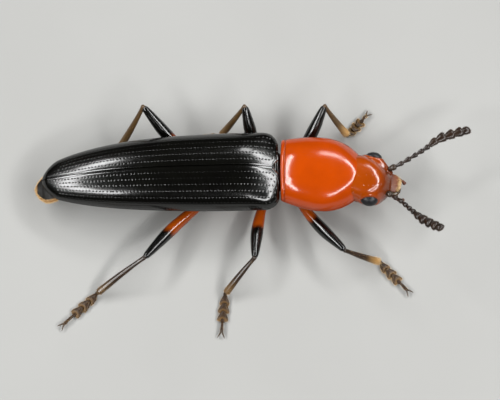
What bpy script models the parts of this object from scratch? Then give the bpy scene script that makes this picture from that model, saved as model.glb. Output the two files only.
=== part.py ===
"""Clover stem borer: a slender red and black beetle, modelled standing at life size.

The beetle faces +X with its left side towards +Y, and its feet rest on Z = 0.
Sizes are written in millimetres and turned into metres where a mesh is made.
"""

import math
from dataclasses import dataclass

import bmesh
import bpy
from mathutils import Matrix, Vector

MM = 0.001

# Clearance kept between two pieces that meet.
GAP = 0.03

# Level of the widest line of the body over the ground.
BODY_LEVEL = 0.95

# Wing cases: one long dome in two halves.
ELYTRA_BASE_X = 0.68
ELYTRA_TIP_X = -4.80
ELYTRA_HALF_WIDTH = 0.93
ELYTRA_HEIGHT = 0.58
ELYTRA_TAPER_START_X = 0.14
ELYTRA_TAPER_END_X = -4.99
ELYTRA_TAPER_POWER = 2.53
ELYTRA_ROUNDING = 0.40
SHOULDER_LENGTH = 0.36
SHOULDER_DROP = 0.34
TAIL_START_X = -1.6
TAIL_DROOP = 0.30
TAIL_FALL = 0.76
TAIL_ROUNDING = 0.14
THIN_END = 0.15
DOME_FULLNESS = 0.92

# Roll of the dome towards the base: deep in the middle, least behind each shoulder.
BASE_SLOPE = 0.43
BASE_LINE = 0.64
BASE_SOFT = 0.16
BASE_CURVE = 2.9
BASE_FLAT = 0.54
DIP_DEPTH = 0.017
DIP_HALF = 0.144
DIP_REACH = 0.60
DIP_SOFT = 0.12

SUTURE_GAP = 0.02
SHIELD_LENGTH = 0.15
SHIELD_HALF_WIDTH = 0.17
SHIELD_THICKNESS = 0.09

# Underside: the chest behind the prothorax, then the ringed abdomen.
CHEST_END_X = -1.02
BELLY_DEPTH = 0.50
BELLY_RIM = 0.06
ABDOMEN_TIP = (-4.95, -0.14, 0.45)
ABDOMEN_INSET = 0.06
ABDOMEN_ROUND_START = -4.35
ABDOMEN_END_TAPER = 0.16
ABDOMEN_RINGS = 5
RING_STEP = 0.018

# Front of the body: the pronotum and head share one turn to the right.
FOREBODY_PIVOT = (0.72, 0.02, BODY_LEVEL)
FOREBODY_TURN = math.radians(-7.7)
PRONOTUM_LENGTH = 1.77
PRONOTUM_HALF_WIDTH = 0.875
PRONOTUM_BASE_HALF_WIDTH = 0.715
PRONOTUM_FRONT_HALF_WIDTH = 0.545
PRONOTUM_WIDEST = 0.92
PRONOTUM_HEIGHT = 0.55
PRONOTUM_DEPTH = 0.50
PRONOTUM_BEAD = 0.014
PRONOTUM_BASE_DROP = 0.20
PRONOTUM_BASE_ROLL = 0.45
PRONOTUM_BASE_SLANT = -0.10
PRONOTUM_SLANT_REACH = 0.9
PRONOTUM_FRONT_SLOPE = 0.50
PRONOTUM_FRONT_START = 0.06
PRONOTUM_FRONT_SOFT = 0.06
PRONOTUM_FRONT_CURVE = 0.9
PRONOTUM_FRONT_MOST = 0.35

HEAD_START = PRONOTUM_LENGTH + GAP
HEAD_END = 2.585
HEAD_ROLL = math.radians(-7.0)
HEAD_FULLNESS = 0.80
BROW_X = 2.475
BROW_SIDE = -0.18
BROW_CURVE = 1.30
BROW_START = 0.10
BROW_FULL_RISE = 0.40
BROW_SOFT = 0.07
BROW_SLOPE = 0.85
BROW_MOST = 0.75
BROW_SPARE = 0.50
BROW_SIDE_START = 0.14
BROW_SIDE_FADE = 0.36
EYE_PLACE = (2.11, 0.530, 0.03)
EYE_RADII = (0.200, 0.145, 0.165)
ANTENNA_BASE = (2.50, 0.315, 0.04)
MOUTH_LEVEL = -0.10

# Feelers: thickness of the stalk and of the toothed club.
STALK_RADIUS = 0.060
CLUB_RADIUS = 0.112
ANTENNA_SEGMENTS = 11
CLUB_SEGMENTS = 5
SCAPE_END = 0.095
STALK_END = 0.51

# Legs: greatest radii of each length.
FEMUR_RADIUS = 0.142
TIBIA_RADIUS = 0.084
LOBE_HALF_WIDTH = 0.126
LOBE_HEIGHT = 0.095
CLAW_STALK_RADIUS = 0.045
CLAW_RADIUS = 0.026
CLAW_LENGTH = 0.17
CLAW_SPREAD = 0.5
KNEE_RADIUS = 0.075
ANKLE_HEIGHT = 0.15
NECK_RADIUS = 0.045
HIP_DIP = -0.35
THIGH_SAG = 0.16


@dataclass(frozen=True)
class Leg:
    """Stations of one leg in millimetres, from the body out to the claws."""

    coxa: tuple
    coxa_radii: tuple
    knee: tuple
    ankle: tuple
    toe: tuple
    bow: float
    red: float


LEGS = {
    "front_right": Leg((0.95, -0.28, 0.37), (0.17, 0.15, 0.16), (2.15, -1.90, 0.78),
                       (2.95, -2.00, ANKLE_HEIGHT), (3.64, -2.77, 0.0), -0.04, 0.39),
    "front_left": Leg((0.85, 0.22, 0.37), (0.17, 0.15, 0.16), (1.79, 1.52, 1.08),
                      (2.31, 1.12, ANKLE_HEIGHT), (2.86, 1.68, 0.0), -0.06, 0.30),
    "middle_right": Leg((0.38, -0.26, 0.37), (0.17, 0.15, 0.16), (0.07, -2.01, 0.75),
                        (-0.61, -2.66, ANKLE_HEIGHT), (-0.75, -3.68, 0.0), -0.05, 0.49),
    "middle_left": Leg((0.38, 0.26, 0.37), (0.17, 0.15, 0.16), (-0.06, 1.55, 1.12),
                       (-0.61, 1.20, ANKLE_HEIGHT), (-1.53, 1.02, 0.0), 0.04, 0.42),
    "hind_right": Leg((-0.80, -0.26, 0.37), (0.15, 0.20, 0.16), (-2.47, -1.94, 0.74),
                      (-3.56, -2.57, ANKLE_HEIGHT), (-4.45, -3.36, 0.0), -0.07, 0.58),
    "hind_left": Leg((-0.88, 0.26, 0.37), (0.15, 0.20, 0.16), (-2.41, 1.60, 1.15),
                     (-2.97, 0.98, ANKLE_HEIGHT), (-4.02, 0.60, 0.0), 0.07, 0.50),
}

# Feeler routes: base direction first, in millimetres of the beetle's own frame.
ANTENNA_ROUTES = {
    "left": ((3.52, 0.09, 1.02), (3.97, 0.35, 1.05), (4.45, 0.65, 1.03), (5.15, 0.87, 0.97)),
    "right": ((3.44, -0.84, 1.14), (3.76, -1.22, 1.36), (4.06, -1.50, 1.58), (4.38, -1.74, 1.78)),
}

SIDES = {"left": 1, "right": -1}


def clear_scene():
    """Remove everything, so that the model starts from an empty scene."""
    for item in list(bpy.data.objects):
        bpy.data.objects.remove(item, do_unlink=True)


def make_material(name, colour, roughness):
    """A plain coated surface of one colour."""
    material = bpy.data.materials.new(name)
    material.use_nodes = True
    shader = material.node_tree.nodes["Principled BSDF"]
    shader.inputs["Base Color"].default_value = (*colour, 1.0)
    shader.inputs["Roughness"].default_value = roughness
    shader.inputs["Metallic"].default_value = 0.0
    return material


def make_finishes():
    """Colours of the live insect."""
    return {
        "red": make_material("red_cuticle", (0.50, 0.055, 0.002), 0.20),
        "black": make_material("black_cuticle", (0.004, 0.004, 0.003), 0.18),
        "brown": make_material("brown_cuticle", (0.030, 0.013, 0.006), 0.35),
        "eye": make_material("eye_cuticle", (0.012, 0.012, 0.014), 0.35),
        "amber": make_material("amber_cuticle", (0.20, 0.055, 0.015), 0.38),
    }


def make_empty(name, parent=None, location=(0.0, 0.0, 0.0), turn=0.0, roll=0.0):
    """An empty that carries pieces; location is in millimetres."""
    empty = bpy.data.objects.new(name, None)
    bpy.context.scene.collection.objects.link(empty)
    empty.parent = parent
    empty.location = Vector(location) * MM
    empty.rotation_euler = (roll, 0.0, turn)
    return empty


def add_piece(name, mesh_edit, material, parent):
    """Turn a bmesh in millimetres into a named, smooth, closed object in metres."""
    bmesh.ops.recalc_face_normals(mesh_edit, faces=mesh_edit.faces)
    bmesh.ops.triangulate(mesh_edit, faces=mesh_edit.faces)
    mesh_edit.transform(Matrix.Scale(MM, 4))
    mesh = bpy.data.meshes.new(name)
    mesh_edit.to_mesh(mesh)
    mesh_edit.free()
    mesh.shade_smooth()
    mesh.set_sharp_from_angle(angle=math.radians(40))
    mesh.materials.append(material)
    piece = bpy.data.objects.new(name, mesh)
    piece.parent = parent
    bpy.context.scene.collection.objects.link(piece)
    return piece


def ellipsoid(centre, radii, rotation=None, around=12, along=8):
    """A closed ellipsoid in millimetres."""
    mesh_edit = bmesh.new()
    bmesh.ops.create_uvsphere(mesh_edit, u_segments=around, v_segments=along, radius=1.0)
    mesh_edit.transform(Matrix.Diagonal((*radii, 1.0)))
    if rotation is not None:
        mesh_edit.transform(rotation.to_4x4())
    mesh_edit.transform(Matrix.Translation(centre))
    return mesh_edit


def cut_from(body, name, mesh_edit, material):
    """Take a closed shape out of a body, and keep the shape as a hidden guide."""
    cutter = add_piece(name, mesh_edit, material, body.parent)
    cutter.hide_render = True
    cutter.display_type = "WIRE"
    cut = body.modifiers.new(name, "BOOLEAN")
    cut.operation = "DIFFERENCE"
    cut.object = cutter
    return cutter


def cut_socket(body, name, centre, radii, rotation=None):
    """Hollow a cup in a body that clears an ellipsoid by the usual gap."""
    roomy = [radius + GAP for radius in radii]
    cut_from(body, name, ellipsoid(centre, roomy, rotation), body.active_material)


def loft(rings):
    """Join closed rings of equally many points into one capped body."""
    mesh_edit = bmesh.new()
    loops = [[mesh_edit.verts.new(point) for point in ring] for ring in rings]
    count = len(rings[0])
    for first, second in zip(loops, loops[1:]):
        for index in range(count):
            after = (index + 1) % count
            mesh_edit.faces.new((first[index], first[after], second[after], second[index]))
    mesh_edit.faces.new(loops[0])
    mesh_edit.faces.new(reversed(loops[-1]))
    return mesh_edit


def smooth_step(value):
    """Ease from 0 to 1 with level ends."""
    value = min(max(value, 0.0), 1.0)
    return value * value * (3.0 - 2.0 * value)


def along_stops(stops, place):
    """Read a smooth line through (place, value) stops."""
    for (start, low), (end, high) in zip(stops, stops[1:]):
        if place <= end:
            return low + (high - low) * smooth_step((place - start) / (end - start))
    return stops[-1][1]


def curve_point(points, place):
    """Point at 0..1 on a smooth curve through all the given points."""
    spans = len(points) - 1
    scaled = min(max(place, 0.0), 1.0) * spans
    index = min(int(scaled), spans - 1)
    local = scaled - index
    p1, p2 = points[index], points[index + 1]
    p0 = points[index - 1] if index > 0 else p1 + (p1 - p2)
    p3 = points[index + 2] if index + 2 <= spans else p2 + (p2 - p1)
    return 0.5 * (
        2.0 * p1
        + (p2 - p0) * local
        + (2.0 * p0 - 5.0 * p1 + 4.0 * p2 - p3) * local ** 2
        + (3.0 * p1 - p0 - 3.0 * p2 + p3) * local ** 3
    )


def bowed_line(start, end, bow, steps):
    """Points from start to end, bowed sideways in plan by the given distance."""
    start, end = Vector(start), Vector(end)
    run = end - start
    across = Vector((-run.y, run.x, 0.0)).normalized()
    points = []
    for step in range(steps + 1):
        place = step / steps
        points.append(start.lerp(end, place) + across * bow * 4.0 * place * (1.0 - place))
    return points


def tube(points, half_widths, half_heights, sides, shifts=None):
    """Closed tube along points, its section set point by point."""
    rings = []
    for index, point in enumerate(points):
        before = points[max(index - 1, 0)]
        after = points[min(index + 1, len(points) - 1)]
        forward = (after - before).normalized()
        across = Vector((0.0, 0.0, 1.0)).cross(forward).normalized()
        upward = forward.cross(across)
        middle = point + across * (shifts[index] if shifts else 0.0)
        ring = []
        for side in range(sides):
            angle = math.tau * (side + 0.5) / sides
            ring.append(middle
                        + across * half_widths[index] * math.cos(angle)
                        + upward * half_heights[index] * math.sin(angle))
        rings.append(ring)
    return loft(rings)


def rounded_stops(stops, blunt):
    """Profile whose two ends close in a short round nose."""
    def radius(place):
        body = along_stops(stops, place)
        edge = min(place, 1.0 - place) / blunt
        if edge >= 1.0:
            return body
        return body * max(math.sqrt(max(1.0 - (1.0 - edge) ** 2, 0.0)), 0.35)
    return radius


def fuse(pieces, name):
    """Join closed objects into the first one and keep its largest surface."""
    body = pieces[0]
    group = bpy.data.collections.new(name + "_joined")
    for extra in pieces[1:]:
        group.objects.link(extra)
    union = body.modifiers.new("joined", "BOOLEAN")
    union.operation = "UNION"
    union.operand_type = "COLLECTION"
    union.collection = group
    bpy.context.view_layer.update()
    graph = bpy.context.evaluated_depsgraph_get()
    mesh = bpy.data.meshes.new_from_object(body.evaluated_get(graph), depsgraph=graph)
    body.modifiers.clear()
    body.data = mesh
    for extra in pieces[1:]:
        bpy.data.objects.remove(extra, do_unlink=True)
    bpy.data.collections.remove(group)
    return body


def elytra_half_width(x):
    """Half the width of both wing cases together at a station."""
    taper = (ELYTRA_TAPER_START_X - x) / (ELYTRA_TAPER_START_X - ELYTRA_TAPER_END_X)
    width = ELYTRA_HALF_WIDTH * math.sqrt(1.0 - max(taper, 0.0) ** ELYTRA_TAPER_POWER)
    return width * shoulder_factor(x) * tip_factor(x)


def shoulder_factor(x):
    """Rounded shoulder at the base of the wing cases."""
    inside = min(max((ELYTRA_BASE_X - x) / SHOULDER_LENGTH, 0.0), 1.0)
    return 1.0 - SHOULDER_DROP * (1.0 - math.sqrt(1.0 - (1.0 - inside) ** 2))


def tip_factor(x):
    """Rounded ends of the wing cases."""
    past = max((ELYTRA_TIP_X + ELYTRA_ROUNDING - x) / ELYTRA_ROUNDING, 0.0)
    return math.sqrt(max(1.0 - past ** 2, 0.0))


def tail_place(x):
    """0 at the middle of the wing cases, 1 at their tips."""
    return max((TAIL_START_X - x) / (TAIL_START_X - ELYTRA_TIP_X), 0.0)


def margin_level(x):
    """Height of the widest line of the hind body."""
    return BODY_LEVEL - TAIL_DROOP * tail_place(x) ** 2


def elytra_height(x):
    """Rise of the dome above its margin, before it rolls down towards the base."""
    tail = 1.0 - TAIL_FALL * tail_place(x) ** 2.2
    past = min(max((ELYTRA_TIP_X + TAIL_ROUNDING - x) / TAIL_ROUNDING, 0.0), 1.0)
    return ELYTRA_HEIGHT * tail * max(math.sqrt(1.0 - past ** 2), THIN_END)


def base_fall(x, reach, rise):
    """How far a point of the dome drops in the roll towards the base."""
    ahead = ELYTRA_BASE_X - x
    late = ahead + BASE_CURVE * max(reach - BASE_FLAT, 0.0) ** 2
    roll = BASE_SOFT * math.log1p(math.exp((BASE_LINE - late) / BASE_SOFT))
    dip = DIP_DEPTH * math.exp(-(reach / DIP_HALF) ** 2)
    dip /= 1.0 + math.exp((ahead - DIP_REACH) / DIP_SOFT)
    return BASE_SLOPE * roll * rise / ELYTRA_HEIGHT + dip


def elytra_stations():
    """Places of the sections, closer together at the shoulder and tip."""
    count = 30
    stations = []
    for step in range(count + 1):
        place = step / count
        eased = place - 0.11 * math.sin(math.tau * place) / math.tau * 4.0
        stations.append(ELYTRA_BASE_X + (ELYTRA_TIP_X + 0.012 - ELYTRA_BASE_X) * eased)
    return stations


def make_elytron(side_name, finishes, root):
    """One wing case: a quarter dome with a nearly level underside."""
    sign = SIDES[side_name]
    arc_steps = 10
    rings = []
    for x in elytra_stations():
        width, height, level = elytra_half_width(x), elytra_height(x), margin_level(x)
        inner = SUTURE_GAP / 2.0
        ring = []
        for step in range(arc_steps + 1):
            angle = 0.5 * math.pi * step / arc_steps
            reach = inner + (width - inner) * math.sin(angle) ** DOME_FULLNESS
            rise = height * math.cos(angle) ** DOME_FULLNESS
            ring.append((x, sign * reach, level + rise - base_fall(x, reach, rise)))
        ring.append((x, sign * (inner + 0.45 * (width - inner)), level))
        ring.append((x, sign * inner, level))
        rings.append(ring)
    return add_piece("elytron_" + side_name, loft(rings), finishes["black"], root)


def shield_rings(grow):
    """Sections of the small three-cornered shield, grown by a clearance."""
    rings = []
    for place in (0.0, 0.35, 0.7, 1.0):
        x = ELYTRA_BASE_X - 0.005 + grow * (1.0 - 2.0 * place) - SHIELD_LENGTH * place
        half = SHIELD_HALF_WIDTH * (1.0 - 0.85 * place ** 1.6) + grow
        rise = elytra_height(x)
        middle = BODY_LEVEL + rise - base_fall(min(x, ELYTRA_BASE_X), 0.0, rise)
        top = middle + 0.01 + grow * 4.0
        low = middle - SHIELD_THICKNESS - grow
        crown = 0.012 * (1.0 - place)
        rings.append([(x, -half, low), (x, half, low), (x, half, top - crown),
                      (x, 0.0, top), (x, -half, top - crown)])
    return rings


def make_scutellum(wing_cases, finishes, root):
    """Small shield set between the bases of the wing cases."""
    add_piece("scutellum", loft(shield_rings(0.0)), finishes["black"], root)
    for wing_case in wing_cases:
        name = wing_case.name + "_shield_notch"
        cut_from(wing_case, name, loft(shield_rings(SUTURE_GAP)), finishes["black"])


def belly_ring(x, half_width, top, depth, shift=0.0, sides=16):
    """Section of the underside: level on top, a round keel below."""
    ring = []
    arc = sides - 3
    for step in range(arc + 1):
        angle = math.pi * step / arc
        reach = math.cos(angle)
        ring.append((x, shift + half_width * reach, top - BELLY_RIM - depth * math.sin(angle)))
    ring.append((x, shift - half_width * 0.94, top))
    ring.append((x, shift + half_width * 0.94, top))
    return ring


def belly_depth(x):
    """Depth of the underside below the margin."""
    return BELLY_DEPTH * (1.0 - 0.42 * tail_place(x) ** 1.6)


def make_chest(finishes, root):
    """Underside of the middle and hind thorax, which carries four legs."""
    front, back = ELYTRA_BASE_X - 0.02, CHEST_END_X
    steps = 8
    rings = []
    for step in range(steps + 1):
        x = front + (back - front) * step / steps
        narrow = 1.0 - 0.16 * (1.0 - smooth_step(step / 2.0))
        width = min(elytra_half_width(x), 0.90) - 0.05
        rings.append(belly_ring(x, width * narrow, margin_level(x) - GAP, belly_depth(x) * narrow))
    chest = add_piece("chest", loft(rings), finishes["red"], root)
    for name, leg in LEGS.items():
        if not name.startswith("front"):
            cut_socket(chest, name + "_socket", leg.coxa, leg.coxa_radii)


def make_abdomen(finishes, root):
    """Abdomen with stepped rings, ending behind the wing cases."""
    front = CHEST_END_X - GAP
    tip_x, tip_y, tip_z = ABDOMEN_TIP
    ring_length = (front - tip_x) / ABDOMEN_RINGS
    steps = 25
    rings = []
    for step in range(steps + 1):
        place = step / steps
        x = front + (tip_x + 0.01 - front) * (1.0 - (1.0 - place) ** 1.25)
        end = max((ABDOMEN_ROUND_START - x) / (ABDOMEN_ROUND_START - tip_x), 0.0)
        closing = math.sqrt(max(1.0 - end ** 2, 0.0))
        inside = ((front - x) / ring_length) % 1.0
        lip = RING_STEP * (1.0 - inside) * (1.0 if x > ABDOMEN_ROUND_START else closing)
        steady = max(x, ABDOMEN_ROUND_START)
        width = (elytra_half_width(steady) - ABDOMEN_INSET) * closing - lip
        width *= 1.0 - ABDOMEN_END_TAPER * end ** 2
        top = margin_level(max(x, ELYTRA_TIP_X)) - GAP
        top += (tip_z + 0.02 - top) * end ** 2.5
        depth = belly_depth(steady) * closing - lip
        shift = tip_y * smooth_step(end / 0.7)
        rings.append(belly_ring(x, max(width, 0.05), top, max(depth, 0.03), shift))
    add_piece("abdomen", loft(rings), finishes["black"], root)


def pronotum_half_width(place):
    """Outline of the pronotum, widest a little before its middle."""
    if place < PRONOTUM_WIDEST:
        drop = PRONOTUM_HALF_WIDTH - PRONOTUM_BASE_HALF_WIDTH
        return PRONOTUM_HALF_WIDTH - drop * (1.0 - place / PRONOTUM_WIDEST) ** 1.7
    drop = PRONOTUM_HALF_WIDTH - PRONOTUM_FRONT_HALF_WIDTH
    past = (place - PRONOTUM_WIDEST) / (PRONOTUM_LENGTH - PRONOTUM_WIDEST)
    return PRONOTUM_HALF_WIDTH - drop * past ** 2.4


def pronotum_height(place):
    """Rise of the pronotum above its side margin."""
    arch = 1.0 - 0.13 * abs(place / PRONOTUM_LENGTH - 0.45) ** 1.8 / 0.45 ** 1.8
    base = 1.0 - min(place / PRONOTUM_BASE_ROLL, 1.0)
    return PRONOTUM_HEIGHT * arch * (1.0 - PRONOTUM_BASE_DROP * base ** 2)


def rolled(point, line, curve, side, start, soft, slope, share, most):
    """Bend the top of a body down in front of a curved line across it."""
    x, y, z = point
    ahead = line - x - curve * (y - side) ** 2
    fall = soft * math.log1p(math.exp((start - ahead) / soft))
    return (x, y, z - min(slope * fall * share, most))


def shape_pronotum_ring(ring):
    """Roll the front of the pronotum down and slant its base."""
    shaped = []
    for point in ring:
        rise = max(point[2], 0.0)
        x, y, z = rolled(point, PRONOTUM_LENGTH, PRONOTUM_FRONT_CURVE, 0.0, PRONOTUM_FRONT_START,
                         PRONOTUM_FRONT_SOFT, PRONOTUM_FRONT_SLOPE, min(rise / PRONOTUM_HEIGHT, 1.0),
                         PRONOTUM_FRONT_MOST * rise)
        fade = max(1.0 - x / PRONOTUM_SLANT_REACH, 0.0)
        shaped.append((x + PRONOTUM_BASE_SLANT * y * fade, y, z))
    return shaped


def body_ring(x, half_width, rise, depth, level, sides=24, bead=0.0, fullness=0.92):
    """Closed egg-shaped section with a fine bead on its widest line."""
    ring = []
    for side in range(sides):
        angle = math.tau * side / sides
        reach = math.copysign(abs(math.cos(angle)) ** fullness, math.cos(angle))
        lift = math.copysign(abs(math.sin(angle)) ** fullness, math.sin(angle))
        edge = bead if side in (0, sides // 2) else 0.0
        height = rise if lift > 0.0 else depth
        ring.append((x, (half_width + edge) * reach, level + height * lift))
    return ring


def make_pronotum(finishes, forebody):
    """Shield over the front thorax, with the breast below it in one ring."""
    steps = 19
    rings = []
    for step in range(steps + 1):
        place = step / steps
        x = PRONOTUM_LENGTH * (place - 0.07 * math.sin(math.tau * place))
        ends = 1.0 - 0.035 * (1.0 if step in (0, steps) else 0.0)
        ring = body_ring(x, pronotum_half_width(x) * ends, pronotum_height(x) * ends,
                         PRONOTUM_DEPTH * (1.0 - 0.25 * place ** 2) * ends, 0.0, bead=PRONOTUM_BEAD)
        rings.append(shape_pronotum_ring(ring))
    pronotum = add_piece("pronotum", loft(rings), finishes["red"], forebody)
    turn_back = Matrix.Rotation(-FOREBODY_TURN, 3, "Z")
    for name, leg in LEGS.items():
        if name.startswith("front"):
            local = turn_back @ (Vector(leg.coxa) - Vector(FOREBODY_PIVOT))
            cut_socket(pronotum, name + "_socket", local, leg.coxa_radii, turn_back)


HEAD_WIDTH_STOPS = ((1.70, 0.53), (2.00, 0.585), (2.25, 0.575), (2.45, 0.42), (2.585, 0.27))
HEAD_TOP_STOPS = ((1.70, 0.42), (2.05, 0.43), (2.40, 0.375), (2.585, 0.30))
HEAD_BOTTOM_STOPS = ((1.70, 0.36), (2.00, 0.41), (2.35, 0.41), (2.585, 0.23))


def make_head(finishes, head_frame):
    """Head capsule, bent a little downward, with its eyes set in the sides."""
    steps = 16
    rings = []
    for step in range(steps + 1):
        x = HEAD_START + (HEAD_END - HEAD_START) * step / steps
        level = MOUTH_LEVEL * smooth_step((x - 1.9) / (HEAD_END - 1.9))
        top, bottom = along_stops(HEAD_TOP_STOPS, x), along_stops(HEAD_BOTTOM_STOPS, x)
        ring = []
        for point in body_ring(x, along_stops(HEAD_WIDTH_STOPS, x), top - level, bottom + level, level,
                               fullness=HEAD_FULLNESS):
            rise = max(point[2] - level, 0.0)
            most = BROW_MOST - BROW_SPARE * smooth_step((abs(point[1]) - BROW_SIDE_START) / BROW_SIDE_FADE)
            ring.append(rolled(point, BROW_X, BROW_CURVE, BROW_SIDE, BROW_START, BROW_SOFT, BROW_SLOPE,
                               min(rise / BROW_FULL_RISE, 1.0), most * rise))
        rings.append(ring)
    head = add_piece("head", loft(rings), finishes["red"], head_frame)
    for side_name, sign in SIDES.items():
        eye_at = Vector((EYE_PLACE[0], sign * EYE_PLACE[1], EYE_PLACE[2]))
        cut_socket(head, "eye_socket_" + side_name, eye_at, EYE_RADII)
        add_piece("eye_" + side_name, ellipsoid(eye_at, EYE_RADII), finishes["eye"], head_frame)
        base = Vector((ANTENNA_BASE[0], sign * ANTENNA_BASE[1], ANTENNA_BASE[2]))
        cut_socket(head, "feeler_socket_" + side_name, base, (STALK_RADIUS + 0.02,) * 3)


def make_mouth(finishes, head_frame):
    """Upper lip, jaws and palps at the front of the head."""
    lip_start = HEAD_END + GAP
    rings = []
    for along, half, thick in ((0.0, 0.22, 0.055), (0.07, 0.21, 0.055), (0.13, 0.17, 0.040),
                               (0.165, 0.10, 0.020)):
        rings.append(body_ring(lip_start + along, half, thick, thick, MOUTH_LEVEL + 0.04 - along * 0.3,
                               sides=12))
    add_piece("labrum", loft(rings), finishes["amber"], head_frame)
    for side_name, sign in SIDES.items():
        start = Vector((lip_start, sign * 0.20, MOUTH_LEVEL - 0.10))
        bend = start + Vector((0.14, -sign * 0.03, -0.02))
        end = start + Vector((0.22, -sign * 0.16, -0.03))
        points = [curve_point([start, bend, end], step / 7) for step in range(8)]
        stops = ((0.0, 0.065), (0.5, 0.055), (1.0, 0.015))
        widths = [along_stops(stops, step / 7) for step in range(8)]
        add_piece("mandible_" + side_name, tube(points, widths, widths, 8), finishes["brown"], head_frame)
        root_at = Vector((lip_start, sign * 0.16, MOUTH_LEVEL - 0.235))
        route = [root_at, root_at + Vector((0.12, sign * 0.08, -0.03)),
                 root_at + Vector((0.24, sign * 0.09, -0.10)), root_at + Vector((0.32, sign * 0.04, -0.17))]
        points = [curve_point(route, step / 12) for step in range(13)]
        stops = ((0.0, 0.030), (0.25, 0.040), (0.34, 0.028), (0.58, 0.042), (0.66, 0.030),
                 (0.85, 0.050), (1.0, 0.020))
        widths = [along_stops(stops, step / 12) for step in range(13)]
        add_piece("palp_" + side_name, tube(points, widths, widths, 8), finishes["brown"], head_frame)


def bead_radius(place, segments, thin, thick):
    """Radius along a row of beads, narrow at each joint."""
    inside = (place * segments) % 1.0
    return thin + (thick - thin) * smooth_step(inside / 0.75) * smooth_step((1.0 - inside) / 0.12)


def make_antenna(side_name, finishes, root, base_world):
    """Feeler in three lengths: scape, beaded stalk and toothed club."""
    sign = SIDES[side_name]
    route = [base_world, *(Vector(point) for point in ANTENNA_ROUTES[side_name])]
    samples = [curve_point(route, step / 240) for step in range(241)]
    lengths = [0.0]
    for before, after in zip(samples, samples[1:]):
        lengths.append(lengths[-1] + (after - before).length)

    def at_length(share):
        target = share * lengths[-1]
        for index in range(1, len(lengths)):
            if lengths[index] >= target:
                return samples[index]
        return samples[-1]

    gap_share = GAP / lengths[-1]
    scape = [at_length(SCAPE_END * step / 8) for step in range(9)]
    radii = [along_stops(((0.0, 0.045), (0.55, 0.078), (1.0, 0.045)), step / 8) for step in range(9)]
    add_piece("antenna_" + side_name + "_scape", tube(scape, radii, radii, 6), finishes["brown"], root)

    stalk_segments = ANTENNA_SEGMENTS - CLUB_SEGMENTS - 1
    steps = stalk_segments * 4
    start = SCAPE_END + gap_share
    stalk = [at_length(start + (STALK_END - start) * step / steps) for step in range(steps + 1)]
    radii = [bead_radius(min(step / steps, 0.999), stalk_segments, 0.042, STALK_RADIUS)
             for step in range(steps + 1)]
    add_piece("antenna_" + side_name + "_stalk", tube(stalk, radii, radii, 6), finishes["brown"], root)

    steps = CLUB_SEGMENTS * 4
    start = STALK_END + gap_share
    club = [at_length(start + (1.0 - start) * step / steps) for step in range(steps + 1)]
    widths, heights, shifts = [], [], []
    for step in range(steps + 1):
        place = min(step / steps, 0.999)
        swell = along_stops(((0.0, 0.70), (0.35, 1.0), (0.85, 1.0), (1.0, 0.62)), place)
        width = swell * bead_radius(place, CLUB_SEGMENTS, 0.050, CLUB_RADIUS)
        widths.append(width)
        heights.append(width * 0.72)
        shifts.append(sign * (width - 0.05) * 0.5)
    add_piece("antenna_" + side_name + "_club", tube(club, widths, heights, 6, shifts),
              finishes["brown"], root)


def thigh_route(leg, steps):
    """Points of the thigh: out from under the hip ball, then up to the knee."""
    coxa, knee = Vector(leg.coxa), Vector(leg.knee)
    outward = Vector((knee.x - coxa.x, knee.y - coxa.y, 0.0)).normalized()
    outward = (outward + Vector((0.0, 0.0, HIP_DIP))).normalized()
    radii = Vector(leg.coxa_radii)
    reach = 1.0 / math.sqrt(sum((outward[axis] / radii[axis]) ** 2 for axis in range(3)))
    start = coxa + outward * (reach + GAP)
    across = Vector((start.y - knee.y, knee.x - start.x, 0.0)).normalized()
    sag = Vector((0.0, 0.0, THIGH_SAG * (knee.z - start.z)))
    middle = start.lerp(knee, 0.5) + across * leg.bow - sag
    return [curve_point([start, middle, knee], step / steps) for step in range(steps + 1)]


def colour_base(piece, material, share, rings, sides):
    """Give the first rings of a tube a second colour."""
    piece.data.materials.append(material)
    red_faces = int(share * (rings - 1)) * sides * 2
    for face in list(piece.data.polygons)[:red_faces]:
        face.material_index = 1


def make_leg(name, leg, finishes, root):
    """One leg in five pieces, from the hip to the claws."""
    label = "leg_" + name + "_"
    hip = ellipsoid(leg.coxa, leg.coxa_radii, around=10, along=6)
    add_piece(label + "coxa", hip, finishes["red"], root)

    steps, sides = 12, 8
    shape = rounded_stops(((0.0, 0.085), (0.12, 0.10), (0.55, FEMUR_RADIUS),
                           (0.85, 0.105), (1.0, 0.085)), 0.07)
    widths = [shape(step / steps) for step in range(steps + 1)]
    heights = [width * 1.1 for width in widths]
    femur = add_piece(label + "femur", tube(thigh_route(leg, steps), widths, heights, sides),
                      finishes["black"], root)
    colour_base(femur, finishes["red"], leg.red, steps + 1, sides)

    knee, ankle = Vector(leg.knee), Vector(leg.ankle)
    down = (ankle - knee).normalized()
    steps, sides = 8, 8
    shin = bowed_line(knee + down * (KNEE_RADIUS + GAP), ankle, leg.bow * 0.25, steps)
    shape = rounded_stops(((0.0, 0.056), (0.12, 0.052), (0.45, 0.067), (0.85, 0.082),
                           (1.0, TIBIA_RADIUS)), 0.06)
    widths = [shape(step / steps) for step in range(steps + 1)]
    add_piece(label + "tibia", tube(shin, widths, widths, sides), finishes["brown"], root)

    make_foot(label, leg, finishes, root)


def sole_ring(bottom, across, upward, half, tall):
    """Section of a foot: level below, arched above."""
    ring = [bottom - across * half, bottom + across * half]
    for turn in (0.15, 0.35, 0.5, 0.65, 0.85):
        angle = math.pi * turn
        ring.append(bottom + across * half * math.cos(angle) + upward * tall * math.sin(angle))
    return ring


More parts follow.
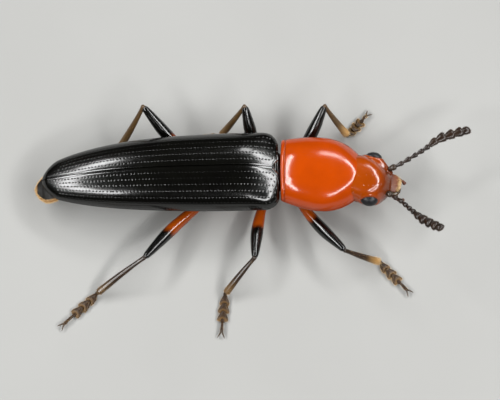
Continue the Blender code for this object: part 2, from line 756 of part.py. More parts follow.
def make_foot(label, leg, finishes, root):
    """A neck under the shin, three lobes flat on the ground, and the claws."""
    knee, ankle, toe = Vector(leg.knee), Vector(leg.ankle), Vector(leg.toe)
    down = (ankle - knee).normalized()
    plan = Vector((toe.x - ankle.x, toe.y - ankle.y, 0.0))
    forward = plan.normalized()
    across = Vector((-forward.y, forward.x, 0.0))
    vertical = Vector((0.0, 0.0, 1.0))
    slope = min(max(math.atan2(-down.z, down.dot(forward)), 0.0), math.radians(80))

    rings = []
    middle = ankle + down * GAP
    for turn in (slope, slope * 0.5):
        upward = forward * math.sin(turn) + vertical * math.cos(turn)
        rings.append(sole_ring(middle - upward * NECK_RADIUS, across, upward,
                               NECK_RADIUS, NECK_RADIUS * 2.0))
        middle = middle + (forward * math.cos(turn) - vertical * math.sin(turn)) * 0.06

    lobe_count, steps = 3, 12
    lobes_start = Vector((middle.x, middle.y, 0.0)) + forward * 0.04
    lobes_length = plan.length * 0.56 - (lobes_start - ankle).to_2d().length
    for step in range(steps + 1):
        place = step / steps
        swell = bead_radius(min(place, 0.999), lobe_count, 0.55, 1.0)
        half = LOBE_HALF_WIDTH * swell * along_stops(((0.0, 0.75), (0.5, 0.95), (1.0, 0.9)), place)
        tall = LOBE_HEIGHT * (0.72 + 0.28 * swell) * (1.0 - 0.18 * place)
        rings.append(sole_ring(lobes_start + forward * lobes_length * place,
                               across, vertical, half, tall))
    add_piece(label + "tarsus", loft(rings), finishes["brown"], root)
    make_claws(label, lobes_start + forward * (lobes_length + GAP), toe, finishes, root)


def make_claws(label, start, toe, finishes, root):
    """Thin last joint of a foot with its two hooked claws."""
    forward = Vector((toe.x - start.x, toe.y - start.y, 0.0)).normalized()
    across = Vector((-forward.y, forward.x, 0.0))
    vertical = Vector((0.0, 0.0, 1.0))
    low = start + vertical * 0.060
    high = toe - forward * CLAW_LENGTH * 0.75 + vertical * 0.075
    steps = 4
    stalk = [low.lerp(high, step / steps) + vertical * 0.03 * math.sin(math.pi * step / steps)
             for step in range(steps + 1)]
    radii = [CLAW_STALK_RADIUS * (0.75 + 0.35 * step / steps) for step in range(steps + 1)]
    pieces = [add_piece(label + "claws", tube(stalk, radii, radii, 6), finishes["brown"], root)]
    for side, sign in SIDES.items():
        spread = forward * math.cos(CLAW_SPREAD) + across * sign * math.sin(CLAW_SPREAD)
        tip = high + spread * CLAW_LENGTH
        hook = [high - forward * 0.03,
                high + spread * CLAW_LENGTH * 0.35 + vertical * 0.012,
                high + spread * CLAW_LENGTH * 0.75 - vertical * 0.012,
                Vector((tip.x, tip.y, 0.022))]
        points = [curve_point(hook, step / steps) for step in range(steps + 1)]
        radii = [CLAW_RADIUS * (1.0 - 0.6 * step / steps) for step in range(steps + 1)]
        pieces.append(add_piece(label + side + "_claw", tube(points, radii, radii, 5),
                                finishes["brown"], root))
    fuse(pieces, label + "claws")


def model_bounds():
    """Lowest and highest corner of all the visible meshes, in metres."""
    bpy.context.view_layer.update()
    corners = [item.matrix_world @ vertex.co
               for item in bpy.context.scene.objects
               if item.type == "MESH" and not item.hide_render
               for vertex in item.data.vertices]
    low = Vector([min(corner[axis] for corner in corners) for axis in range(3)])
    high = Vector([max(corner[axis] for corner in corners) for axis in range(3)])
    return low, high


def set_on_origin(root):
    """Stand the beetle on the ground with its box centred over the origin."""
    low, high = model_bounds()
    middle = (low + high) / 2.0
    root.location -= Vector((middle.x, middle.y, low.z))


def main():
    """Build every part of the beetle."""
    clear_scene()
    finishes = make_finishes()
    root = make_empty("beetle")
    forebody = make_empty("forebody", root, FOREBODY_PIVOT, FOREBODY_TURN)
    wing_cases = [make_elytron(side_name, finishes, root) for side_name in SIDES]
    make_scutellum(wing_cases, finishes, root)
    make_chest(finishes, root)
    make_abdomen(finishes, root)
    make_pronotum(finishes, forebody)
    head_frame = make_empty("head_frame", forebody, roll=HEAD_ROLL)
    make_head(finishes, head_frame)
    make_mouth(finishes, head_frame)
    turn = Matrix.Rotation(FOREBODY_TURN, 3, "Z") @ Matrix.Rotation(HEAD_ROLL, 3, "X")
    for side_name, sign in SIDES.items():
        local = Vector((ANTENNA_BASE[0], sign * ANTENNA_BASE[1], ANTENNA_BASE[2]))
        base = Vector(FOREBODY_PIVOT) + turn @ local
        make_antenna(side_name, finishes, root, base)
    for name, leg in LEGS.items():
        make_leg(name, leg, finishes, root)
    set_on_origin(root)


main()
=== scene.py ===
"""Looks of the clover stem borer: fine skins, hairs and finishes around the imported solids.

Shapes are made in millimetres of the beetle's own frame, with the head towards +X, the
left side towards +Y and the ground at Z = 0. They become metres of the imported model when
a piece is made.
"""

import logging
import math
from dataclasses import dataclass, field
from enum import Enum
from typing import Optional, Sequence

import bmesh
import bpy
import numpy as np
from mathutils import Matrix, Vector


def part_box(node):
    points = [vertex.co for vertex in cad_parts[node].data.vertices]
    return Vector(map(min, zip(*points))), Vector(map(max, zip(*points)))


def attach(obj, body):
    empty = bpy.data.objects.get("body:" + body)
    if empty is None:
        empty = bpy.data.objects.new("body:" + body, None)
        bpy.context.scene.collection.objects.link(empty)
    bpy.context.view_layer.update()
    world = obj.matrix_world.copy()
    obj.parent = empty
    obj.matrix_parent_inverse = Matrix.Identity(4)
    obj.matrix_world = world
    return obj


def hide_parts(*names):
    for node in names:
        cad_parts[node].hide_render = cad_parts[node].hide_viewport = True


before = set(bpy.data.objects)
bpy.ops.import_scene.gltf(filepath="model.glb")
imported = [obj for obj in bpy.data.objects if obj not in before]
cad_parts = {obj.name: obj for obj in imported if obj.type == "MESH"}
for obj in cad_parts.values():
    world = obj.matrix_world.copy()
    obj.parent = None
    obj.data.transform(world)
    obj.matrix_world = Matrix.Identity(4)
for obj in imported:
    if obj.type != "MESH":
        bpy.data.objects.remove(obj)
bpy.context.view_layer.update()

log = logging.getLogger("beetle")

Array = np.ndarray
Colour = tuple[float, float, float]

MM = 0.001
BODY = "root"
UP = np.array([0.0, 0.0, 1.0])

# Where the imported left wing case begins, which ties the two frames together.
WING_BOX_LOW_X = -4.788
WING_BOX_LOW_Y = 0.01
SHIFT = np.array([
    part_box("elytron_left")[0][0] - WING_BOX_LOW_X * MM,
    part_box("elytron_left")[0][1] - WING_BOX_LOW_Y * MM,
    0.0,
])


class Side(Enum):
    """The two sides of the insect, as the sign of Y."""

    LEFT = 1
    RIGHT = -1

    @property
    def label(self) -> str:
        """Name of the side as nodes and pieces spell it."""
        return self.name.lower()


class Slot(Enum):
    """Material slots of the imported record."""

    BLACK = "black_cuticle"
    RED = "red_cuticle"
    BROWN = "brown_cuticle"
    EYE = "eye_cuticle"
    AMBER = "amber_cuticle"


def ramp(value: Array, start: float, length: float) -> Array:
    """Ease from 0 to 1 with level ends.

    Args:
        value: where to read the ramp.
        start: where it leaves 0.
        length: how far on it reaches 1; below 0 it runs backwards.

    Returns:
        The ramp at each value.
    """
    share = np.clip((value - start) / length, 0.0, 1.0)
    return share * share * (3.0 - 2.0 * share)


def hump(distance: Array, width: float) -> Array:
    """Bell of height 1 that fades over the given width."""
    return np.exp(-(distance / width) ** 2)


def stops_at(stops: Sequence[tuple[float, float]], place: Array) -> Array:
    """Read a smooth line through (place, value) stops, with no wave between them.

    Args:
        stops: places in rising order, each with its value.
        place: where to read the line.

    Returns:
        The values, held level outside the first and last stop.
    """
    knots, values = np.array(stops, dtype=float).T
    width = np.diff(knots)
    rise = np.diff(values) / width
    slope = np.concatenate([rise[:1], np.zeros(len(rise) - 1), rise[-1:]])
    for index in range(1, len(rise)):
        before, after = rise[index - 1], rise[index]
        if before * after > 0.0:
            slope[index] = 2.0 * before * after / (before + after)
    place = np.clip(np.asarray(place, dtype=float), knots[0], knots[-1])
    span = np.clip(np.searchsorted(knots, place, side="right") - 1, 0, len(rise) - 1)
    share = (place - knots[span]) / width[span]
    square, cube = share ** 2, share ** 3
    return (values[span] * (2.0 * cube - 3.0 * square + 1.0)
            + values[span + 1] * (3.0 * square - 2.0 * cube)
            + width[span] * (slope[span] * (cube - 2.0 * square + share)
                             + slope[span + 1] * (cube - square)))


def unit(vectors: Array) -> Array:
    """Vectors of length 1 in the same directions."""
    length = np.linalg.norm(vectors, axis=-1, keepdims=True)
    return vectors / np.maximum(length, 1e-12)


def curve_through(points: Sequence[Sequence[float]], places: Array) -> Array:
    """Points on a smooth curve, spaced by its length.

    Args:
        points: the points that the curve passes through.
        places: shares of the curve's length, 0 to 1.

    Returns:
        One row for each place.
    """
    knots = np.asarray(points, dtype=float)
    knots = np.vstack([2.0 * knots[0] - knots[1], knots, 2.0 * knots[-1] - knots[-2]])
    fine = []
    steps = np.linspace(0.0, 1.0, 61)[:, None]
    for p0, p1, p2, p3 in zip(knots, knots[1:], knots[2:], knots[3:]):
        bend = 2.0 * p0 - 5.0 * p1 + 4.0 * p2 - p3
        twist = 3.0 * p1 - p0 - 3.0 * p2 + p3
        fine.append(0.5 * (2.0 * p1 + (p2 - p0) * steps + bend * steps ** 2 + twist * steps ** 3))
    fine = np.vstack(fine)
    lengths = np.linalg.norm(np.diff(fine, axis=0), axis=1)
    along = np.concatenate([[0.0], np.cumsum(lengths)])
    target = np.asarray(places) * along[-1]
    return np.stack([np.interp(target, along, fine[:, axis]) for axis in range(3)], axis=-1)


def round_places(count: int) -> Array:
    """Shares from 0 to 1 that lie closer together at both ends."""
    return 0.5 - 0.5 * np.cos(np.linspace(0.0, math.pi, count))


def nosed(places: Array, blunt: float) -> Array:
    """Factor that closes both ends of a profile in a round nose."""
    edge = np.clip(np.minimum(places, 1.0 - places) / blunt, 0.0, 1.0)
    return np.sqrt(np.maximum(1.0 - (1.0 - edge) ** 2, 0.0004))


def full_turn(count: int) -> Array:
    """Angles of evenly spaced points round a ring."""
    return 2.0 * math.pi * np.arange(count) / count


def grid_of(x: Array, y: Array, z: Array) -> Array:
    """Grid of points whose coordinates are spread to one shape."""
    return np.stack(np.broadcast_arrays(x, y, z), axis=-1)


def soft_ramp(value: Array, soft: float) -> Array:
    """Ramp that leaves 0 in a soft bend of the given length."""
    return soft * np.log1p(np.exp(value / soft))


def directions(path: Array) -> tuple[Array, Array, Array]:
    """Directions at each point of a path.

    Args:
        path: points of the path, in order.

    Returns:
        The forward, sideways and upward directions.
    """
    forward = unit(np.gradient(path, axis=0))
    across = unit(np.cross(UP, forward))
    return forward, across, np.cross(forward, across)


def tube(path: Array, half_width: Array, half_height: Array, sides: int,
         shift: Optional[Array] = None) -> Array:
    """Rings of a tube along a path.

    Args:
        path: middle of each ring.
        half_width: half of the ring's level width.
        half_height: half of its height.
        sides: points in a ring.
        shift: how far each ring stands to the left of the path.

    Returns:
        Array of rings, sides and coordinates.
    """
    _, across, upward = directions(path)
    angle = full_turn(sides)
    middle = path if shift is None else path + across * shift[:, None]
    return (middle[:, None, :]
            + across[:, None, :] * (half_width[:, None] * np.cos(angle))[..., None]
            + upward[:, None, :] * (half_height[:, None] * np.sin(angle))[..., None])


def ball(centre: Sequence[float], radii: Sequence[float], rings: int, sides: int, gap: float,
         pole: int) -> Array:
    """Rings of an egg-shaped ball.

    Args:
        centre: its middle.
        radii: its half sizes along X, Y and Z.
        rings: number of rings from pole to pole.
        sides: points in a ring.
        gap: angle that stays open round each pole.
        pole: axis through the poles, 0 to 2.

    Returns:
        Array of rings, sides and coordinates.
    """
    turn = full_turn(sides)[None, :]
    tilt = np.linspace(gap - math.pi / 2.0, math.pi / 2.0 - gap, rings)[:, None]
    axes = [np.cos(tilt) * np.cos(turn), np.cos(tilt) * np.sin(turn)]
    axes.insert(pole, np.sin(tilt))
    return np.asarray(centre) + grid_of(*axes) * np.asarray(radii)


def grid_normals(grid: Array, around: bool = True) -> Array:
    """Unit normals of a grid of points.

    Args:
        grid: rings that turn from left to top, or an open sheet.
        around: whether the rings close.

    Returns:
        One normal for each point.
    """
    along = np.gradient(grid, axis=0)
    if around:
        turn = np.roll(grid, -1, axis=1) - np.roll(grid, 1, axis=1)
    else:
        turn = np.gradient(grid, axis=1)
    return unit(np.cross(turn, along))


def pushed_out(grid: Array, amount: Array, middle: Array) -> Array:
    """Move a skin along its normals, away from its middle.

    Args:
        grid: rings of the skin.
        amount: how far each point moves.
        middle: the middle that each point faces away from.

    Returns:
        The moved rings.
    """
    normal = grid_normals(grid)
    outward = np.sign(np.sum(normal * (grid - middle), axis=-1, keepdims=True))
    return grid + normal * outward * amount[..., None]


@dataclass(frozen=True)
class Mark:
    """Soft band along a line of a skin: a bead, a shade or, with a height below 0, a groove."""

    height: float
    place: float
    width: float

    def over(self, distance: Array) -> Array:
        """Height of the mark at distances that are measured as its place is."""
        return self.height * hump(distance - self.place, self.width)


@dataclass
class Shape:
    """Points and faces of one piece, gathered patch by patch, in millimetres."""

    points: list[Array] = field(default_factory=list)
    faces: list[list[int]] = field(default_factory=list)
    tints: list[Array] = field(default_factory=list)
    roots: list[Array] = field(default_factory=list)
    count: int = 0

    @classmethod
    def of_grid(cls, grid: Array, tint: float | Array = 0.0) -> "Shape":
        """Shape of one grid of closed rings.

        Args:
            grid: array of rings, points in a ring, and coordinates.
            tint: share of the second colour, for all or for each point of the grid.

        Returns:
            The shape.
        """
        shape = cls()
        shape.add_grid(grid, tint)
        return shape

    def add(self, points: Array, faces: list[list[int]], tint: float | Array = 0.0,
            roots: Optional[Array] = None) -> None:
        """Add a patch.

        Args:
            points: its points.
            faces: lists of indices into the points.
            tint: share of the finish's second colour, for all or for each point.
            roots: place of each point on the unwrap of the skin, for hairs.
        """
        self.points.append(points)
        self.faces.extend([[index + self.count for index in face] for face in faces])
        self.tints.append(np.broadcast_to(tint, (len(points),)))
        if roots is not None:
            self.roots.append(roots)
        self.count += len(points)

    def add_grid(self, grid: Array, tint: float | Array = 0.0) -> None:
        """Add rings that close round, with a fan over each end.

        Args:
            grid: array of rings, points in a ring, and coordinates.
            tint: share of the second colour, for all or for each point of the grid.
        """
        rows, columns = grid.shape[:2]
        row = np.arange(rows - 1)[:, None] * columns
        column = np.arange(columns)[None, :]
        after = (column + 1) % columns
        quads = np.stack([row + column, row + after, row + columns + after,
                          row + columns + column], axis=-1).reshape(-1, 4).tolist()
        tints = np.broadcast_to(tint, (rows, columns)).reshape(-1)
        first, last = rows * columns, rows * columns + 1
        end = (rows - 1) * columns
        for index in range(columns):
            following = (index + 1) % columns
            quads.append([following, index, first])
            quads.append([end + index, end + following, last])
        points = np.vstack([grid.reshape(-1, 3), grid[0].mean(axis=0), grid[-1].mean(axis=0)])
        self.add(points, quads, np.concatenate([tints, tints[:1], tints[-1:]]))

    def build(self, name: str, finish: bpy.types.Material, slot: Slot,
              replaced: Sequence[str] = (), sharp: float = 55.0) -> bpy.types.Object:
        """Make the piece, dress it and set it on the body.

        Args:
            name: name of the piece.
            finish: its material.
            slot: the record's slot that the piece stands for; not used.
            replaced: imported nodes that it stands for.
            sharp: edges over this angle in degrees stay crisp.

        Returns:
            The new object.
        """
        mesh = bpy.data.meshes.new(name)
        mesh.from_pydata((np.vstack(self.points) * MM + SHIFT).tolist(), [], self.faces)
        edit = bmesh.new()
        edit.from_mesh(mesh)
        bmesh.ops.recalc_face_normals(edit, faces=edit.faces)
        edit.to_mesh(mesh)
        edit.free()
        mesh.attributes.new("tint", "FLOAT", "POINT")
        mesh.attributes["tint"].data.foreach_set("value", np.concatenate(self.tints))
        if self.roots:
            corners = np.empty(len(mesh.loops), dtype=np.int32)
            mesh.loops.foreach_get("vertex_index", corners)
            unwrap = mesh.uv_layers.new(name="OFBake")
            unwrap.data.foreach_set("uv", np.vstack(self.roots)[corners].ravel())
        mesh.shade_smooth()
        mesh.set_sharp_from_angle(angle=math.radians(sharp))
        mesh.materials.append(finish)
        piece = bpy.data.objects.new(name, mesh)
        bpy.context.scene.collection.objects.link(piece)
        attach(piece, BODY)
        if replaced:
            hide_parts(*replaced)
        log.info("%s: %d points, %d faces", name, len(mesh.vertices), len(mesh.polygons))
        return piece


@dataclass
class Coat:
    """Hairs gathered for one piece, each rooted on a skin and lying along it."""

    rng: np.random.Generator
    parts: int = 1
    shape: Shape = field(default_factory=Shape)
    part: int = 0

    PATCH = 0.003
    CORNERS = 3
    RINGS = np.array([0.0, 0.35, 0.7, 1.0])
    TAPER = np.array([1.0, 0.85, 0.5, 0.08])
    LENGTH_SWING = (0.7, 1.2)

    def hair_faces(self, count: int) -> list[list[int]]:
        """Faces of closed three-sided hairs.

        Args:
            count: number of hairs.

        Returns:
            The sides of all hairs, then the caps of all hairs.
        """
        corners, levels = self.CORNERS, len(self.RINGS)
        sides = []
        for low in range(0, (levels - 1) * corners, corners):
            for corner in range(corners):
                following = (corner + 1) % corners
                sides.append([low + corner, low + following,
                              low + corners + following, low + corners + corner])
        end = (levels - 1) * corners
        caps = [[0, 2, 1], [end, end + 1, end + 2]]
        start = (np.arange(count) * levels * corners)[:, None, None]
        return ((np.array(sides)[None] + start).reshape(-1, 4).tolist()
                + (np.array(caps)[None] + start).reshape(-1, 3).tolist())

    def grow(self, grid: Array, count: int, length: float, width: float, lift: float,
             rows: tuple[float, float] = (0.0, 1.0), sector: tuple[float, float] = (0.0, 1.0),
             lean: Sequence[float] = (0.0, 0.0, 0.0), droop: float = 0.2,
             spread: float = 0.25) -> None:
        """Scatter hairs over part of a grid of rings.

        Args:
            grid: the skin, as rings along the limb.
            count: number of hairs.
            length: their mean length.
            width: thickness at the root.
            lift: 0 lies along the limb, 1 stands square on it.
            rows: share of the grid's length that carries hairs.
            sector: share of the way round that carries hairs.
            lean: a direction added to all of them.
            droop: how far a hair bends back along the limb.
            spread: how much each hair differs from its neighbours.
        """
        ring_count, columns = grid.shape[:2]
        normal = grid_normals(grid)
        along = unit(np.gradient(grid, axis=0))
        row = self.rng.uniform(rows[0], rows[1], count)
        column = self.rng.uniform(sector[0], sector[1], count) % 1.0
        low = np.clip((row * (ring_count - 1)).astype(int), 0, ring_count - 2)
        inside = (row * (ring_count - 1) - low)[:, None]
        turn = np.clip((column * columns).astype(int), 0, columns - 1)
        root = grid[low, turn] * (1.0 - inside) + grid[low + 1, turn] * inside
        out, run = normal[low, turn], along[low, turn]
        way = out * lift + run * (1.0 - lift) + np.asarray(lean)
        way = unit(way + self.rng.normal(0.0, spread, (count, 3)))
        long = length * self.rng.uniform(*self.LENGTH_SWING, count)[:, None, None]
        side = unit(np.cross(way, out + 1e-3))
        other = np.cross(way, side)
        place = self.RINGS[None, :, None]
        spine = (root - out * width * 0.5)[:, None, :] + way[:, None, :] * long * place
        spine = spine + (run * droop)[:, None, :] * long * place ** 2
        spine[..., 2] = np.maximum(spine[..., 2], width)
        ring = []
        for angle in full_turn(self.CORNERS):
            reach = side * math.cos(angle) + other * math.sin(angle)
            ring.append(spine + reach[:, None, :] * (width * 0.5 * self.TAPER)[None, :, None])
        points = np.stack(ring, axis=2).reshape(-1, 3)
        place_u = (self.part + row) / self.parts
        patch = np.stack([place_u, column], axis=-1) * (1.0 - self.PATCH)
        levels = np.linspace(0.0, 1.0, len(self.RINGS))
        corners = np.linspace(0.0, 1.0, self.CORNERS)
        corner = np.array([[level, turn] for level in levels for turn in corners]) * self.PATCH
        roots = (patch[:, None, :] + corner[None]).reshape(-1, 2)
        tips = np.tile(np.repeat(self.RINGS, self.CORNERS), count)
        self.shape.add(points, self.hair_faces(count), tips, roots)

    def next_part(self) -> None:
        """Move on to the next strip of the unwrap."""
        self.part += 1


class Nodes:
    """Shader nodes of one material, joined by short calls."""

    def __init__(self, name: str) -> None:
        """Start a material whose patterns are laid out in millimetres.

        Args:
            name: name of the material.
        """
        self.material = bpy.data.materials.new(name)
        self.material.use_nodes = True
        self.tree = self.material.node_tree
        self.shader = self.tree.nodes["Principled BSDF"]
        coordinates = self.tree.nodes.new("ShaderNodeTexCoord")
        scaled = self.tree.nodes.new("ShaderNodeVectorMath")
        scaled.operation = "SCALE"
        scaled.inputs["Scale"].default_value = 1.0 / MM
        self.tree.links.new(coordinates.outputs["Object"], scaled.inputs[0])
        self.place = scaled.outputs["Vector"]

    def link(self, output: bpy.types.NodeSocket, node: bpy.types.Node, name: str) -> None:
        """Join an output to a named input."""
        self.tree.links.new(output, node.inputs[name])

    def noise(self, scale: float, detail: float = 3.0, rough: float = 0.55) -> bpy.types.NodeSocket:
        """Soft cloudy pattern.

        Args:
            scale: waves to the millimetre.
            detail: how many finer layers it has.
            rough: how strong the finer layers are.

        Returns:
            The pattern's value.
        """
        node = self.tree.nodes.new("ShaderNodeTexNoise")
        node.inputs["Scale"].default_value = scale
        node.inputs["Detail"].default_value = detail
        node.inputs["Roughness"].default_value = rough
        self.link(self.place, node, "Vector")
        return node.outputs["Fac"]

    def cells(self, scale: float) -> bpy.types.NodeSocket:
        """Pattern of scattered cells.

        Args:
            scale: cells to the millimetre.

        Returns:
            The distance from the nearest cell's middle.
        """
        node = self.tree.nodes.new("ShaderNodeTexVoronoi")
        node.inputs["Scale"].default_value = scale
        self.link(self.place, node, "Vector")
        return node.outputs["Distance"]

    def tint(self) -> bpy.types.NodeSocket:
        """Read the share of the second colour that the shape carries.

        Returns:
            The share at each point.
        """
        node = self.tree.nodes.new("ShaderNodeAttribute")
        node.attribute_name = "tint"
        return node.outputs["Fac"]

    def spread(self, value: bpy.types.NodeSocket, start: float, end: float,
               low: float = 0.0, high: float = 1.0) -> bpy.types.NodeSocket:
        """Stretch a value from one range to another, held at its ends.

        Args:
            value: the value.
            start: what becomes low.
            end: what becomes high.
            low: start of the new range.
            high: end of the new range.

        Returns:
            The stretched value.
        """
        node = self.tree.nodes.new("ShaderNodeMapRange")
        node.inputs["From Min"].default_value = start
        node.inputs["From Max"].default_value = end
        node.inputs["To Min"].default_value = low
        node.inputs["To Max"].default_value = high
        self.link(value, node, "Value")
        return node.outputs["Result"]

    def blend(self, share: bpy.types.NodeSocket, first: Colour | bpy.types.NodeSocket,
              second: Colour | bpy.types.NodeSocket) -> bpy.types.NodeSocket:
        """Mix two colours.

        Args:
            share: 0 for the first colour, 1 for the second.
            first: a colour, or the output that carries it.
            second: the other colour, or its output.

        Returns:
            The mixed colour.
        """
        node = self.tree.nodes.new("ShaderNodeMix")
        node.data_type = "RGBA"
        self.tree.links.new(share, node.inputs[0])
        for socket, colour in ((node.inputs[6], first), (node.inputs[7], second)):
            if isinstance(colour, tuple):
                socket.default_value = (*colour, 1.0)
            else:
                self.tree.links.new(colour, socket)
        return node.outputs[2]

    def bump(self, height: bpy.types.NodeSocket, distance: float, strength: float,
             under: Optional[bpy.types.NodeSocket] = None) -> bpy.types.NodeSocket:
        """Raise a pattern on the surface.

        Args:
            height: the pattern.
            distance: its height in millimetres.
            strength: how much of it shows, 0 to 1.
            under: relief that it lies on.

        Returns:
            The normal of the surface.
        """
        node = self.tree.nodes.new("ShaderNodeBump")
        node.inputs["Distance"].default_value = distance * MM
        node.inputs["Strength"].default_value = strength
        self.link(height, node, "Height")
        if under is not None:
            self.link(under, node, "Normal")
        return node.outputs["Normal"]

    def set(self, **values: float) -> None:
        """Set inputs of the shader; an underscore stands for a space."""
        for name, value in values.items():
            self.shader.inputs[name.replace("_", " ")].default_value = value


# Between these values a noise pattern swings most of the time.
NOISE_RANGE = (0.3, 0.7)


@dataclass(frozen=True)
class Cuticle:
    """Glossy horny skin with clouding, a second colour, fine pits and a clear coat."""

    name: str
    main: Colour
    cloud: Colour
    second: Colour
    roughness: float = 0.20
    roughness_swing: float = 0.08
    coat: float = 0.6
    coat_roughness: float = 0.05
    cloud_scale: float = 1.6
    grain_scale: float = 60.0
    grain_height: float = 0.0010
    pit_scale: float = 9.0
    pit_size: float = 0.16
    pit_height: float = 0.0
    swell_height: float = 0.004
    ior: float = 1.5
    glow: float = 0.0
    glow_reach: Colour = (0.10, 0.04, 0.02)
    cloud_range: tuple[float, float] = (0.35, 0.68)
    wear_ratio: float = 7.0
    swell_ratio: float = 3.0

    def make(self) -> bpy.types.Material:
        """Build the material.

        Returns:
            The material.
        """
        nodes = Nodes(self.name)
        clouds = nodes.spread(nodes.noise(self.cloud_scale, 4.0), *self.cloud_range)
        colour = nodes.blend(clouds, self.main, self.cloud)
        colour = nodes.blend(nodes.tint(), colour, self.second)
        nodes.link(colour, nodes.shader, "Base Color")
        worn = nodes.noise(self.cloud_scale * self.wear_ratio)
        rough = nodes.spread(worn, *NOISE_RANGE, self.roughness,
                             self.roughness + self.roughness_swing)
        nodes.link(rough, nodes.shader, "Roughness")
        skin = nodes.bump(nodes.cells(self.grain_scale), self.grain_height, 0.6)
        waves = nodes.noise(self.cloud_scale * self.swell_ratio, 2.0)
        swell = nodes.bump(waves, self.swell_height, 0.5, skin)
        if self.pit_height > 0.0:
            pits = nodes.spread(nodes.cells(self.pit_scale), 0.0, self.pit_size)
            swell = nodes.bump(pits, self.pit_height, 1.0, swell)
        nodes.link(swell, nodes.shader, "Normal")
        nodes.set(Coat_Weight=self.coat, Coat_Roughness=self.coat_roughness, IOR=self.ior)
        if self.glow > 0.0:
            nodes.set(Subsurface_Weight=self.glow, Subsurface_Scale=MM)
            nodes.shader.inputs["Subsurface Radius"].default_value = self.glow_reach
        return nodes.material


@dataclass(frozen=True)
class FacetedEye:
    """Dark eye of tiny six-sided lenses, each lighter in its middle as a painted sheen."""

    name: str = "eye_lenses"
    dark: Colour = (0.005, 0.005, 0.006)
    # Painted sheen: the lighter colour laid on the middle of each lens.
    sheen: Colour = (0.015, 0.015, 0.018)
    lens_scale: float = 58.0
    lens_height: float = 0.0022
    roughness: tuple[float, float] = (0.34, 0.44)
    mottle_scale: float = 6.0

    def make(self) -> bpy.types.Material:
        """Build the material.

        Returns:
            The material.
        """
        nodes = Nodes(self.name)
        lens = nodes.cells(self.lens_scale)
        share = nodes.spread(lens, 0.1, 0.6)
        # Painted sheen: the middle of each lens is lighter and its edges are dark.
        nodes.link(nodes.blend(share, self.sheen, self.dark), nodes.shader, "Base Color")
        round_top = nodes.spread(lens, 0.0, 0.7, 1.0, 0.0)
        nodes.link(nodes.bump(round_top, self.lens_height, 0.8), nodes.shader, "Normal")
        rough = nodes.spread(nodes.noise(self.mottle_scale), *NOISE_RANGE, *self.roughness)
        nodes.link(rough, nodes.shader, "Roughness")
        nodes.set(Coat_Weight=0.06, Coat_Roughness=0.20, IOR=1.38)
        return nodes.material


@dataclass(frozen=True)
class HairFinish:
    """Fine hair, a little darker at the root and clearer at the tip."""

    name: str
    root: Colour
    tip: Colour
    streak_scale: float = 14.0
    streak_most: float = 0.35
    wear_scale: float = 20.0
    roughness: tuple[float, float] = (0.35, 0.5)

    def make(self) -> bpy.types.Material:
        """Build the material.

        Returns:
            The material.
        """
        nodes = Nodes(self.name)
        colour = nodes.blend(nodes.tint(), self.root, self.tip)
        streak = nodes.spread(nodes.noise(self.streak_scale), *NOISE_RANGE, 0.0, self.streak_most)
        nodes.link(nodes.blend(streak, colour, self.tip), nodes.shader, "Base Color")
        rough = nodes.spread(nodes.noise(self.wear_scale), *NOISE_RANGE, *self.roughness)
        nodes.link(rough, nodes.shader, "Roughness")
        nodes.set(Sheen_Weight=0.15, IOR=1.5)
        return nodes.material


@dataclass(frozen=True)
class FloorFinish:
    """Plain pale matt card."""

    name: str = "pale_card"
    main: Colour = (0.30, 0.30, 0.29)
    cloud: Colour = (0.285, 0.285, 0.275)
    cloud_scale: float = 0.15
    cloud_range: tuple[float, float] = (0.35, 0.65)

    def make(self) -> bpy.types.Material:
        """Build the material.

        Returns:
            The material.
        """
        nodes = Nodes(self.name)
        share = nodes.spread(nodes.noise(self.cloud_scale), *self.cloud_range)
        nodes.link(nodes.blend(share, self.main, self.cloud), nodes.shader, "Base Color")
        nodes.set(Roughness=0.85)
        return nodes.material


